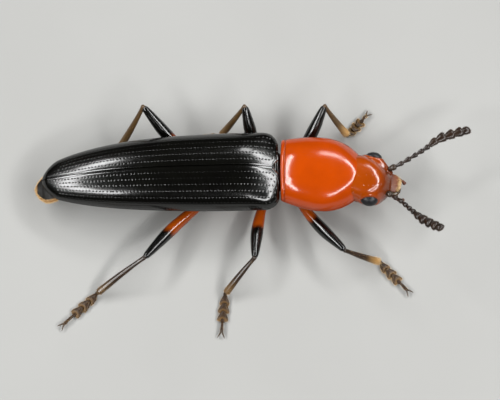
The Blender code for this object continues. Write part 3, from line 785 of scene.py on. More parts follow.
class Finishes:
    """All the materials of the beetle, made once."""

    def __init__(self) -> None:
        """Make every finish."""
        self.black = Cuticle(
            "black_gloss", main=(0.0008, 0.0007, 0.0005), cloud=(0.0016, 0.0016, 0.0010),
            second=(0.23, 0.038, 0.001), roughness=0.15, roughness_swing=0.05, coat=0.12,
            grain_scale=45.0, grain_height=0.0003, swell_height=0.0015, ior=1.48).make()
        self.head = Cuticle(
            "head_gloss", main=(0.27, 0.040, 0.0006), cloud=(0.22, 0.032, 0.0005),
            second=(0.070, 0.016, 0.005), roughness=0.135, roughness_swing=0.05, coat=0.18,
            coat_roughness=0.04, ior=1.48, pit_scale=15.0, pit_size=0.22, pit_height=0.005,
            swell_height=0.002, grain_height=0.0006).make()
        self.red = Cuticle(
            "red_gloss", main=(0.36, 0.041, 0.0002), cloud=(0.315, 0.0355, 0.0002),
            second=(0.075, 0.011, 0.002), roughness=0.14, roughness_swing=0.05, coat=0.12,
            coat_roughness=0.03, pit_scale=8.0, pit_size=0.10, pit_height=0.002,
            swell_height=0.0010, ior=1.46, grain_height=0.0005).make()
        self.chest = Cuticle(
            "chest_gloss", main=(0.28, 0.033, 0.0008), cloud=(0.21, 0.025, 0.0008),
            second=(0.010, 0.008, 0.005), roughness=0.26, coat=0.4, coat_roughness=0.10,
            pit_scale=11.0, pit_size=0.22, pit_height=0.008).make()
        self.brown = Cuticle(
            "brown_horn", main=(0.007, 0.0034, 0.0017), cloud=(0.019, 0.0080, 0.0032),
            second=(0.45, 0.25, 0.08), roughness=0.30, roughness_swing=0.10, coat=0.40,
            coat_roughness=0.10, cloud_scale=3.0, ior=1.36, grain_scale=45.0,
            grain_height=0.0015).make()
        self.foot = Cuticle(
            "foot_horn", main=(0.011, 0.0050, 0.0022), cloud=(0.028, 0.0125, 0.0050),
            second=(0.40, 0.23, 0.08), roughness=0.34, roughness_swing=0.12, coat=0.0,
            coat_roughness=0.10, cloud_scale=9.0, ior=1.30, grain_scale=34.0,
            grain_height=0.0060).make()
        self.amber = Cuticle(
            "amber_horn", main=(0.11, 0.024, 0.006), cloud=(0.17, 0.045, 0.012),
            second=(0.040, 0.010, 0.004), roughness=0.42, roughness_swing=0.10, coat=0.05,
            coat_roughness=0.2, cloud_scale=4.0, ior=1.4, glow=0.10).make()
        self.tail = Cuticle(
            "tail_plate", main=(0.0030, 0.0026, 0.0020), cloud=(0.006, 0.005, 0.003),
            second=(0.30, 0.14, 0.04), roughness=0.36, roughness_swing=0.10, coat=0.0,
            coat_roughness=0.10, ior=1.25, grain_scale=45.0, pit_scale=14.0, pit_size=0.25,
            pit_height=0.005).make()
        self.eye = FacetedEye().make()
        self.gold_hair = HairFinish("gold_hair", (0.42, 0.24, 0.08), (0.70, 0.50, 0.25)).make()
        self.leg_hair = HairFinish("leg_hair", (0.09, 0.045, 0.014), (0.46, 0.29, 0.115)).make()
        self.dark_hair = HairFinish("dark_hair", (0.020, 0.010, 0.005), (0.09, 0.05, 0.025)).make()
        self.floor = FloorFinish().make()


@dataclass(frozen=True)
class HindBody:
    """Outline that the wing cases and the underside share."""

    base_x: float = 0.68
    tip_x: float = -4.80
    half_width: float = 0.93
    height: float = 0.58
    level: float = 0.95
    taper_start: float = 0.14
    taper_end: float = -4.99
    taper_power: float = 2.53
    rounding: float = 0.40
    shoulder_length: float = 0.36
    shoulder_drop: float = 0.34
    droop: float = 0.30
    tail_fall: float = 0.76
    tail_rounding: float = 0.14
    droop_start: float = -1.6
    base_slope: float = 0.43
    base_line: float = 0.64
    base_soft: float = 0.16
    base_curve: float = 2.9
    base_flat: float = 0.54
    dip_depth: float = 0.017
    dip_half: float = 0.144
    dip_reach: float = 0.60
    dip_soft: float = 0.12
    tail_power: float = 2.2
    least_rise: float = 0.15

    def shoulder(self, x: Array) -> Array:
        """Factor of the rounded shoulder at the base of the wing cases."""
        inside = np.clip((self.base_x - x) / self.shoulder_length, 0.0, 1.0)
        return 1.0 - self.shoulder_drop * (1.0 - np.sqrt(1.0 - (1.0 - inside) ** 2))

    def closing(self, x: Array) -> Array:
        """Factor of the rounded ends of the wing cases."""
        past = np.maximum((self.tip_x + self.rounding - x) / self.rounding, 0.0)
        return np.sqrt(np.maximum(1.0 - past ** 2, 0.0))

    def tail(self, x: Array) -> Array:
        """0 in front of the middle, 1 at the tips."""
        return np.maximum((self.droop_start - x) / (self.droop_start - self.tip_x), 0.0)

    def width_at(self, x: Array) -> Array:
        """Half of the width of both wing cases.

        Args:
            x: stations along the body.

        Returns:
            The half width at each.
        """
        taper = np.maximum((self.taper_start - x) / (self.taper_start - self.taper_end), 0.0)
        width = self.half_width * np.sqrt(np.maximum(1.0 - taper ** self.taper_power, 0.0))
        return width * self.shoulder(x) * self.closing(x)

    def level_at(self, x: Array) -> Array:
        """Height of the widest line."""
        return self.level - self.droop * self.tail(x) ** 2

    def rise_at(self, x: Array) -> Array:
        """Rise of the dome above the widest line.

        Args:
            x: stations along the body.

        Returns:
            The rise at each.
        """
        tail = 1.0 - self.tail_fall * self.tail(x) ** self.tail_power
        past = np.clip((self.tip_x + self.tail_rounding - x) / self.tail_rounding, 0.0, 1.0)
        return self.height * tail * np.maximum(np.sqrt(1.0 - past ** 2), self.least_rise)

    def base_fall(self, x: Array, y: Array, rise: Array) -> Array:
        """How far the dome rolls down towards the base, least behind each shoulder.

        Args:
            x: stations along the body.
            y: distances from the middle line.
            rise: heights of the dome over the widest line.

        Returns:
            The fall at each point.
        """
        behind = self.base_x - x
        late = behind + self.base_curve * np.maximum(np.abs(y) - self.base_flat, 0.0) ** 2
        roll = soft_ramp(self.base_line - late, self.base_soft)
        fade = 1.0 + np.exp((behind - self.dip_reach) / self.dip_soft)
        dip = self.dip_depth * hump(y, self.dip_half) / fade
        return self.base_slope * roll * np.clip(rise / self.height, 0.0, 1.0) + dip


@dataclass
class WingCases:
    """Both wing cases with their rows of pits, and the small shield between them."""

    body: HindBody
    suture: float = 0.010
    shield_length: float = 0.15
    shield_half: float = 0.17
    shield_gap: float = 0.012
    shield_rise: float = 0.022
    shield_keel: float = 0.07
    shield_dish: Mark = Mark(-0.012, 0.45, 0.22)
    # Painted highlight: a reddish band round the shield's rim stands in for light caught on its
    # edge.
    shield_rim_highlight: Mark = Mark(0.35, 0.15, 0.30)
    shield_gap_x: float = 0.004
    shield_lift: float = 0.010
    shield_taper: float = 0.97
    shield_power: float = 1.5
    shield_rings: int = 40
    shield_sides: int = 36
    notch_taper: float = 0.85
    notch_power: float = 1.6
    dome_power: float = 0.92
    widest_start: float = 0.9
    rows: int = 7
    row_step: float = 0.126
    row_bow: float = 0.012
    row_wave: float = 5.5
    row_stagger: float = 0.37
    pit_step: float = 0.080
    pit_radius: float = 0.0125
    pit_depth: float = 0.0062
    pit_jog: float = 0.006
    pit_swing: tuple[float, float] = (0.85, 1.15)
    pit_end: float = 0.15
    pit_fade: float = 0.5
    side_bead: Mark = Mark(0.003, 0.0, 0.014)
    side_groove: Mark = Mark(-0.005, 0.036, 0.012)
    suture_groove: Mark = Mark(-0.002, 0.030, 0.012)
    base_groove: Mark = Mark(-0.003, 0.030, 0.010)
    tip_gap: float = 0.006
    closing_places: tuple[float, ...] = (0.9985, 0.9995, 1.0)
    lower_side: tuple = ((0.985, -0.012), (0.80, -0.008), (0.45, 0.02), (0.0, 0.02))
    along: int = 780
    across: int = 200
    fine: int = 241
    sharp: float = 62.0

    def inner_edge(self, x: Array) -> Array:
        """Inner edge of a wing case, which makes room for the shield in front.

        Args:
            x: stations along the body.

        Returns:
            Distance of the edge from the middle line.
        """
        place = np.clip((self.body.base_x - x) / self.shield_length, 0.0, 1.0)
        narrowing = 1.0 - self.notch_taper * place ** self.notch_power
        return np.where(place < 1.0, self.shield_half * narrowing + self.shield_gap, self.suture)

    def dome(self, stations: Array) -> Array:
        """Smooth upper side of a left wing case, with evenly spaced columns.

        Args:
            stations: places along the body, one for each row.

        Returns:
            Array of rows, columns and coordinates.
        """
        share = np.linspace(0.0, 1.0, self.across)
        rows = []
        for x in stations:
            edge = float(self.inner_edge(np.array(x)))
            width, rise = float(self.body.width_at(x)), float(self.body.rise_at(x))
            start = math.asin(min(edge / width, self.widest_start) ** (1.0 / self.dome_power))
            angle = np.linspace(start, math.pi / 2.0, self.fine)
            reach = width * np.sin(angle) ** self.dome_power
            lift = rise * np.cos(angle) ** self.dome_power
            steps = np.hypot(np.diff(reach), np.diff(lift))
            length = np.concatenate([[0.0], np.cumsum(steps)])
            target = share * length[-1]
            across, up = np.interp(target, length, reach), np.interp(target, length, lift)
            up = up - self.body.base_fall(x, across, up)
            rows.append(grid_of(x, across, self.body.level_at(x) + up))
        return np.array(rows)

    def relief(self, dome: Array, rng: np.random.Generator) -> Array:
        """Pits, beads and grooves of the upper side.

        Args:
            dome: the smooth upper side.
            rng: source of the pits' small differences.

        Returns:
            Height over the dome at each point.
        """
        behind = self.body.base_x - dome[..., 0]
        girth = np.linalg.norm(np.diff(dome, axis=1), axis=-1).sum(axis=1)[:, None]
        share = np.linspace(0.0, 1.0, self.across)[None, :]
        height = np.zeros_like(behind)
        marks = int((self.body.base_x - self.body.tip_x) / self.pit_step) + 3
        fade = ramp(dome[..., 0], self.body.tip_x + self.pit_end, self.pit_fade)
        for row in range(1, self.rows + 1):
            jog = rng.normal(0.0, self.pit_jog, marks)
            weight = rng.uniform(*self.pit_swing, marks)
            place = behind / self.pit_step + self.row_stagger * row
            index = np.clip(np.round(place).astype(int), 0, marks - 1)
            ahead = (place - np.round(place)) * self.pit_step + jog[index]
            bow = self.row_bow * np.sin(math.pi * behind / self.row_wave)
            aside = (share - (row * self.row_step - bow)) * girth
            pits = hump(np.hypot(ahead, aside), self.pit_radius)
            height -= self.pit_depth * weight[index] * pits * fade
        from_side = (1.0 - share) * girth
        height += self.side_bead.over(from_side) + self.side_groove.over(from_side)
        height += self.suture_groove.over(share * girth)
        height += self.base_groove.over(behind)
        return height

    def build(self, finishes: Finishes, rng: np.random.Generator) -> None:
        """Make both wing cases and the shield.

        Args:
            finishes: the beetle's materials.
            rng: source of random numbers.
        """
        start, end = self.body.base_x, self.body.tip_x + self.tip_gap
        places = np.linspace(0.0, 1.0, self.along)
        places = np.concatenate([places[:-1], self.closing_places])
        stations = start + (end - start) * np.sort(np.unique(places))
        dome = self.dome(stations)
        normal = grid_normals(dome, around=False)
        normal = np.where(normal[..., 2:3] < 0.0, -normal, normal)
        level, closing = self.body.level_at(stations), self.body.closing(stations)
        inner, edge = dome[:, 0, 1], dome[:, -1, 1]
        lower = [grid_of(stations, inner + (edge - inner) * share, level + drop * closing)
                 for share, drop in self.lower_side]
        for side in Side:
            top = dome + normal * self.relief(dome, rng)[..., None]
            ring = np.concatenate([top, np.stack(lower, axis=1)], axis=1)
            ring[..., 1] *= side.value
            Shape.of_grid(ring).build(f"wing_case_{side.label}", finishes.black, Slot.BLACK,
                                      [f"elytron_{side.label}"], self.sharp)
        self.build_shield(finishes)

    def build_shield(self, finishes: Finishes) -> None:
        """Make the small crowned shield between the bases of the wing cases, with a painted
        highlight round its rim.

        Args:
            finishes: the beetle's materials.
        """
        place = np.linspace(0.0, 1.0, self.shield_rings)
        turn = full_turn(self.shield_sides)
        above = np.sin(turn) > 0.0
        x = self.body.base_x - self.shield_gap_x - self.shield_length * place
        narrowing = 1.0 - self.shield_taper * place ** self.shield_power
        half = self.shield_half * narrowing * nosed(place, 0.10)
        rise = self.body.rise_at(x)
        fall = self.body.base_fall(x, np.zeros_like(x), rise)
        top = self.body.level + rise - fall + self.shield_lift
        lift = np.where(above, self.shield_rise, self.shield_keel) * np.sin(turn)
        dish = self.shield_dish.over(place)[:, None] * above[None, :]
        grid = grid_of(x[:, None], half[:, None] * np.cos(turn),
                       top[:, None] + lift[None, :] * nosed(place, 0.15)[:, None] + dish)
        # Painted highlight: the rim is tinted towards the reddish second colour, where light would
        # catch the shield's edge.
        rim = np.broadcast_to(self.shield_rim_highlight.over(np.sin(turn)), grid.shape[:2])
        Shape.of_grid(grid, rim).build("shield", finishes.black, Slot.BLACK, ["scutellum"])


@dataclass
class Underside:
    """Hind thorax, waist and the ringed abdomen under the wing cases."""

    body: HindBody
    chest_front: float = 0.66
    chest_end: float = -1.02
    chest_narrowing: float = 0.16
    chest_widening: float = 0.42
    chest_most: float = 0.90
    chest_inset: float = 0.05
    chest_drop: float = 0.03
    chest_below: float = 0.12
    chest_rings: int = 150
    chest_shade: float = 0.35
    chest_shade_ramp: tuple[float, float] = (0.80, 0.2)
    middle_line: Mark = Mark(-0.010, 0.0, 0.018)
    middle_line_ramp: tuple[float, float] = (0.2, -0.2)
    seams: tuple[Mark, ...] = (Mark(-0.012, 0.10, 0.016), Mark(-0.012, -0.55, 0.014))
    seam_bow: float = 0.10
    side_line: Mark = Mark(-0.008, 0.82, 0.014)
    abdomen_front: float = -1.04
    abdomen_inset: float = 0.06
    abdomen_drop: float = 0.01
    tip: tuple[float, float, float] = (-4.94, -0.14, 0.45)
    tip_narrowing: float = 0.16
    tip_lift: float = 0.05
    tip_lift_ramp: tuple[float, float] = (-4.75, -0.27)
    tip_shift_share: float = 0.7
    tip_rim: float = 0.045
    tip_rim_length: float = 0.04
    tip_rise: float = 0.02
    rim_ramp: tuple[float, float] = (0.86, 0.12)
    rim_start_ramp: tuple[float, float] = (-3.9, -0.5)
    shade_start_ramp: tuple[float, float] = (-2.6, -0.5)
    abdomen_rings: int = 300
    tip_crowding: float = 1.5
    round_start: float = -4.35
    depth: float = 0.50
    depth_fall: float = 0.42
    depth_power: float = 1.6
    rim: float = 0.06
    rings: int = 5
    ring_step: float = 0.018
    lip_share: float = 0.5
    gap: float = 0.02
    arc: int = 140
    roof_points: int = 40
    roof_half: float = 0.94
    roof_rise: float = 0.03
    neck_start: float = 0.56
    neck_end: float = 0.90
    neck_radii: tuple[float, float] = (0.56, 0.36)
    neck_drop: float = 0.06
    neck_swell: float = 0.10
    neck_shade: float = 0.10
    neck_rings: int = 12
    neck_sides: int = 60

    def depth_at(self, x: Array) -> Array:
        """Depth of the keel below the rim."""
        return self.depth * (1.0 - self.depth_fall * self.body.tail(x) ** self.depth_power)

    def section(self, x: Array, half: Array, top: Array, depth: Array, shift: Array) -> Array:
        """Rings with a round keel below and a nearly level top.

        Args:
            x: station of each ring.
            half: half of its width.
            top: height of its upper edge.
            depth: depth of the keel below the rim.
            shift: how far the ring stands to the left.

        Returns:
            Array of rings, points in a ring, and coordinates.
        """
        x, half, top, depth, shift = (row[:, None] for row in (x, half, top, depth, shift))
        angle = np.linspace(0.0, math.pi, self.arc)
        below = grid_of(x, np.cos(angle) * half + shift, top - self.rim - depth * np.sin(angle))
        across = np.linspace(-self.roof_half, self.roof_half, self.roof_points)
        roof = self.roof_rise * (1.0 - (across / self.roof_half) ** 2)
        above = grid_of(x, across * half + shift, top + roof * np.minimum(half / 0.3, 1.0))
        return np.concatenate([below, above], axis=1)

    def build_chest(self, finishes: Finishes) -> None:
        """Make the hind thorax with its plates and middle line.

        Args:
            finishes: the beetle's materials.
        """
        x = np.linspace(self.chest_front, self.chest_end, self.chest_rings)
        front = 1.0 - ramp(x, self.chest_front, -self.chest_widening)
        narrow = 1.0 - self.chest_narrowing * front
        half = (np.minimum(self.body.width_at(x), self.chest_most) - self.chest_inset) * narrow
        level = self.body.level_at(x)
        grid = self.section(x, half, level - self.gap - self.chest_drop,
                            self.depth_at(x) * narrow, np.zeros_like(x))
        share = np.abs(grid[..., 1]) / half[:, None]
        below = (grid[..., 2] < (level - self.chest_below)[:, None]).astype(float)
        relief = self.middle_line.over(grid[..., 1]) * ramp(grid[..., 0], *self.middle_line_ramp)
        for seam in self.seams:
            relief += seam.over(grid[..., 0] - self.seam_bow * share ** 2)
        relief = (relief + self.side_line.over(share)) * below
        grid = pushed_out(grid, relief, grid.mean(axis=1, keepdims=True))
        shape = Shape.of_grid(grid, self.chest_shade * ramp(share, *self.chest_shade_ramp))
        shape.build("chest_plates", finishes.chest, Slot.RED, ["chest"])

    def build_neck(self, finishes: Finishes) -> None:
        """Make the dark waist that joins the chest to the front of the body.

        Args:
            finishes: the beetle's materials.
        """
        turn = full_turn(self.neck_sides)
        place = np.linspace(0.0, 1.0, self.neck_rings)[:, None]
        swell = 1.0 - self.neck_swell * (1.0 - np.cos(2.0 * math.pi * place))
        wide, high = self.neck_radii
        grid = grid_of(self.neck_start + (self.neck_end - self.neck_start) * place,
                       swell * (np.cos(turn) * wide),
                       self.body.level - self.neck_drop + swell * (np.sin(turn) * high))
        Shape.of_grid(grid, self.neck_shade).build("waist", finishes.black, Slot.BLACK)

    def build_abdomen(self, finishes: Finishes, rng: np.random.Generator) -> None:
        """Make the abdomen, its pale rim and the fringe at its end.

        Args:
            finishes: the beetle's materials.
            rng: source of random numbers.
        """
        tip_x, tip_y, tip_z = self.tip
        place = np.linspace(0.0, 1.0, self.abdomen_rings)
        crowded = 1.0 - (1.0 - place) ** self.tip_crowding
        x = self.abdomen_front + (tip_x - self.abdomen_front) * crowded
        end = np.maximum((self.round_start - x) / (self.round_start - tip_x), 0.0)
        closing = np.sqrt(np.maximum(1.0 - end ** 2, 0.0006))
        ring_length = (self.abdomen_front - tip_x) / self.rings
        inside = ((self.abdomen_front - x) / ring_length) % 1.0
        lip = self.ring_step * (1.0 - ramp(inside, 0.0, self.lip_share)) * closing
        lip = lip * (place > 0.01)
        steady = np.maximum(x, self.round_start)
        half = (self.body.width_at(steady) - self.abdomen_inset) * closing - lip
        half = half * (1.0 - self.tip_narrowing * end ** 2)
        top = self.body.level_at(np.maximum(x, self.body.tip_x)) - self.gap - self.abdomen_drop
        top = top + (tip_z + self.tip_rise - top) * end ** 2.5
        depth = self.depth_at(steady) * closing - lip
        shift = tip_y * ramp(end, 0.0, self.tip_shift_share)
        grid = self.section(x, half, top, np.maximum(depth, 0.01), shift)
        lift = self.tip_lift * ramp(x, *self.tip_lift_ramp) * (1.0 - closing)
        grid[..., 2] += lift[:, None]
        share = np.abs(grid[..., 1] - shift[:, None]) / np.maximum(half, 0.02)[:, None]
        rim = ramp(share, *self.rim_ramp) * ramp(grid[..., 0], *self.rim_start_ramp)
        end_rim = ramp(grid[..., 0], tip_x + self.tip_rim, -self.tip_rim_length)
        start = ramp(x, *self.shade_start_ramp)[:, None]
        shape = Shape.of_grid(grid, np.clip(np.maximum(rim, end_rim) * start, 0.0, 1.0))
        shape.build("abdomen_rings", finishes.tail, Slot.BLACK, ["abdomen"])
        self.build_fringe(grid, finishes, rng)

    def build_fringe(self, grid: Array, finishes: Finishes, rng: np.random.Generator) -> None:
        """Make the hairs of the abdomen: on both rims, round the end and on the belly.

        Args:
            grid: skin of the abdomen.
            finishes: the beetle's materials.
            rng: source of random numbers.
        """
        coat = Coat(rng, 4)
        edge = self.arc / grid.shape[1]
        for sector in ((0.0, 0.03), (edge - 0.03, edge + 0.01)):
            coat.grow(grid, 520, 0.052, 0.0044, 0.45, (0.74, 0.995), sector, droop=0.1, spread=0.22)
            coat.next_part()
        coat.grow(grid, 420, 0.056, 0.0044, 0.25, (0.955, 0.999), droop=0.1)
        coat.next_part()
        coat.grow(grid, 900, 0.060, 0.0045, 0.20, (0.05, 0.97), (0.03, edge - 0.03), droop=0.15)
        coat.shape.build("abdomen_hairs", finishes.gold_hair, Slot.AMBER)

    def build(self, finishes: Finishes, rng: np.random.Generator) -> None:
        """Make the whole underside.

        Args:
            finishes: the beetle's materials.
            rng: source of random numbers.
        """
        self.build_chest(finishes)
        self.build_neck(finishes)
        self.build_abdomen(finishes, rng)


@dataclass(frozen=True)
class Forebody:
    """Turn that the pronotum and the head share."""

    pivot: tuple[float, float, float] = (0.72, 0.02, 0.95)
    turn: float = math.radians(-7.7)
    head_roll: float = math.radians(-7.0)

    def place(self, points: Array) -> Array:
        """Points of the forebody in the beetle's frame."""
        turn = np.array(Matrix.Rotation(self.turn, 3, "Z"))
        return points @ turn.T + np.asarray(self.pivot)

    def place_head(self, points: Array) -> Array:
        """Points of the head, which is rolled a little, in the beetle's frame."""
        roll = np.array(Matrix.Rotation(self.head_roll, 3, "X"))
        return self.place(points @ roll.T)


def egg_section(x: Array, half: Array, rise: Array, depth: Array, level: Array, sides: int,
                fullness: float = 0.92) -> Array:
    """Egg-shaped rings across the body.

    Args:
        x: station of each ring.
        half: half of its width.
        rise: height above its widest line.
        depth: depth below it.
        level: height of the widest line.
        sides: points in a ring.
        fullness: power of the section, lower is squarer.

    Returns:
        Array of rings, sides and coordinates.
    """
    angle = full_turn(sides)
    reach = np.sign(np.cos(angle)) * np.abs(np.cos(angle)) ** fullness
    lift = np.sign(np.sin(angle)) * np.abs(np.sin(angle)) ** fullness
    tall = np.where(lift > 0.0, rise[:, None], depth[:, None])
    return grid_of(x[:, None], half[:, None] * reach, level[:, None] + tall * lift)


@dataclass
class Pronotum:
    """Red shield over the front thorax, closed by the breast below."""

    at: Forebody
    length: float = 1.77
    half_width: float = 0.875
    base_half: float = 0.715
    front_half: float = 0.545
    widest: float = 0.92
    height: float = 0.55
    depth: float = 0.50
    depth_fall: float = 0.25
    arch_fall: float = 0.13
    arch_middle: float = 0.45
    base_line: float = 0.085
    base_line_width: float = 0.014
    base_line_depth: float = 0.010
    base_pit_depth: float = 0.010
    base_pit_step: float = 0.055
    base_bead: Mark = Mark(0.006, 0.035, 0.022)
    base_bow: float = 0.02
    base_shear: float = -0.10
    base_fade: float = 0.9
    base_drop: float = 0.20
    base_roll: float = 0.45
    dent: Mark = Mark(-0.005, 0.0, 0.060)
    dent_place: tuple[float, float] = (0.17, 0.36)
    dent_stretch: float = 1.6
    side_bead: Mark = Mark(0.014, 0.006, 0.016)
    side_groove: Mark = Mark(-0.012, 0.050, 0.016)
    breast_line: Mark = Mark(-0.010, 0.46, 0.014)
    side_shade: Mark = Mark(0.55, 0.02, 0.030)
    base_shade: Mark = Mark(0.45, 0.0, 0.018)
    darkest: float = 0.8
    top_ramp: tuple[float, float] = (0.0, 0.08)
    breast_ramp: tuple[float, float] = (0.0, -0.10)
    breast_slant: float = 0.10
    base_edge: tuple[float, float] = (0.030, 0.035)
    front_edge: tuple[float, float] = (0.022, 0.030)
    front_slope: float = 0.50
    front_start: float = 0.06
    front_soft: float = 0.060
    front_curve: float = 0.9
    front_most: float = 0.35
    collar: tuple = ((0.010, 0.96), (0.09, 0.93), (0.10, 0.5))
    socket: tuple = ((0.03, 0.5), (0.02, 0.90))
    sides: int = 320
    steps: int = 230

    def width_at(self, x: Array) -> Array:
        """Half of the width along the shield.

        Args:
            x: distances from the base.

        Returns:
            The half width at each.
        """
        before = np.abs(1.0 - x / self.widest) ** 1.7
        behind = self.half_width - (self.half_width - self.base_half) * before
        past = np.maximum(x - self.widest, 0.0) / (self.length - self.widest)
        ahead = self.half_width - (self.half_width - self.front_half) * past ** 2.4
        return np.where(x < self.widest, behind, ahead)

    def height_at(self, x: Array) -> Array:
        """Rise above the side line.

        Args:
            x: distances from the base.

        Returns:
            The rise at each.
        """
        base = 1.0 - np.clip(x / self.base_roll, 0.0, 1.0)
        bend = np.abs(x / self.length - self.arch_middle) ** 1.8 / self.arch_middle ** 1.8
        return self.height * (1.0 - self.arch_fall * bend) * (1.0 - self.base_drop * base ** 2)

    def roll_front(self, grid: Array) -> Array:
        """Bend the front of the shield down behind a curved line.

        Args:
            grid: rings of the shield.

        Returns:
            The bent rings.
        """
        behind = self.length - grid[..., 0] - self.front_curve * grid[..., 1] ** 2
        fall = soft_ramp(self.front_start - behind, self.front_soft)
        rise = np.maximum(grid[..., 2], 0.0)
        share = np.clip(rise / self.height, 0.0, 1.0)
        lowered = grid.copy()
        lowered[..., 2] -= np.minimum(self.front_slope * fall * share, self.front_most * rise)
        return lowered

    def relief(self, grid: Array) -> Array:
        """Beads, grooves, basal pits and dents of the shield.

        Args:
            grid: rings of the smooth shield.

        Returns:
            Height over the rings at each point.
        """
        along, across, level = grid[..., 0], grid[..., 1], grid[..., 2]
        pit = 0.5 + 0.5 * np.cos(2.0 * math.pi * across / self.base_pit_step)
        depth = self.base_line_depth + self.base_pit_depth * pit
        height = self.base_bead.over(along) - depth * hump(along - self.base_line,
                                                           self.base_line_width)
        dent_x, dent_y = self.dent_place
        for side in Side:
            reach = np.hypot((along - dent_x) / self.dent_stretch, across - side.value * dent_y)
            height += self.dent.over(reach)
        height *= ramp(level, *self.top_ramp)
        height += self.side_bead.over(level) + self.side_groove.over(level)
        line = self.breast_line.over(np.abs(across) + self.breast_slant * along)
        return height + line * ramp(level, *self.breast_ramp)

    def closed(self, grid: Array) -> Array:
        """Add the socket behind the shield and the collar in front.

        Args:
            grid: rings of the shield.

        Returns:
            The rings with those of socket and collar.
        """
        ends = []
        for rim, base, sign, steps in ((grid[0], 0.0, 1.0, self.socket),
                                       (grid[-1], self.length, -1.0, self.collar)):
            for inset, share in steps:
                ring = rim.copy()
                ring[:, 0] = base + sign * inset
                ring[:, 1:] *= share
                ends.append(ring)
        back = len(self.socket)
        return np.concatenate([np.array(ends[:back]), grid, np.array(ends[back:])])

    def build(self, finishes: Finishes) -> None:
        """Make the shield with its beads, basal line and rolled collar.

        Args:
            finishes: the beetle's materials.
        """
        x = np.linspace(0.0, self.length, self.steps)
        ends = np.ones_like(x)
        for place, (radius, inset) in ((x, self.base_edge), (self.length - x, self.front_edge)):
            outside = 1.0 - np.clip(place / radius, 0.0, 1.0)
            ends -= inset * (1.0 - np.sqrt(1.0 - outside ** 2))
        depth = self.depth * (1.0 - self.depth_fall * (x / self.length) ** 2)
        grid = self.roll_front(egg_section(x, self.width_at(x) * ends, self.height_at(x) * ends,
                                           depth * ends, np.zeros_like(x), self.sides))
        grid = pushed_out(grid, self.relief(grid), grid * np.array([1.0, 0.0, 0.0]))
        grid = self.closed(grid)
        along, across, level = grid[..., 0].copy(), grid[..., 1], grid[..., 2]
        fade = np.clip(1.0 - along / self.base_fade, 0.0, 1.0)
        offset = self.base_bow * (across / self.base_half) ** 2 + self.base_shear * across
        grid[..., 0] += offset * fade
        shade = self.base_shade.over(along - self.base_line) * ramp(level, *self.top_ramp)
        shade = np.clip(self.side_shade.over(level) + shade, 0.0, self.darkest)
        shade[:len(self.socket)], shade[-len(self.collar):] = 1.0, 1.0
        shape = Shape.of_grid(self.at.place(grid), shade)
        shape.build("pronotum_shield", finishes.red, Slot.RED, ["pronotum"])


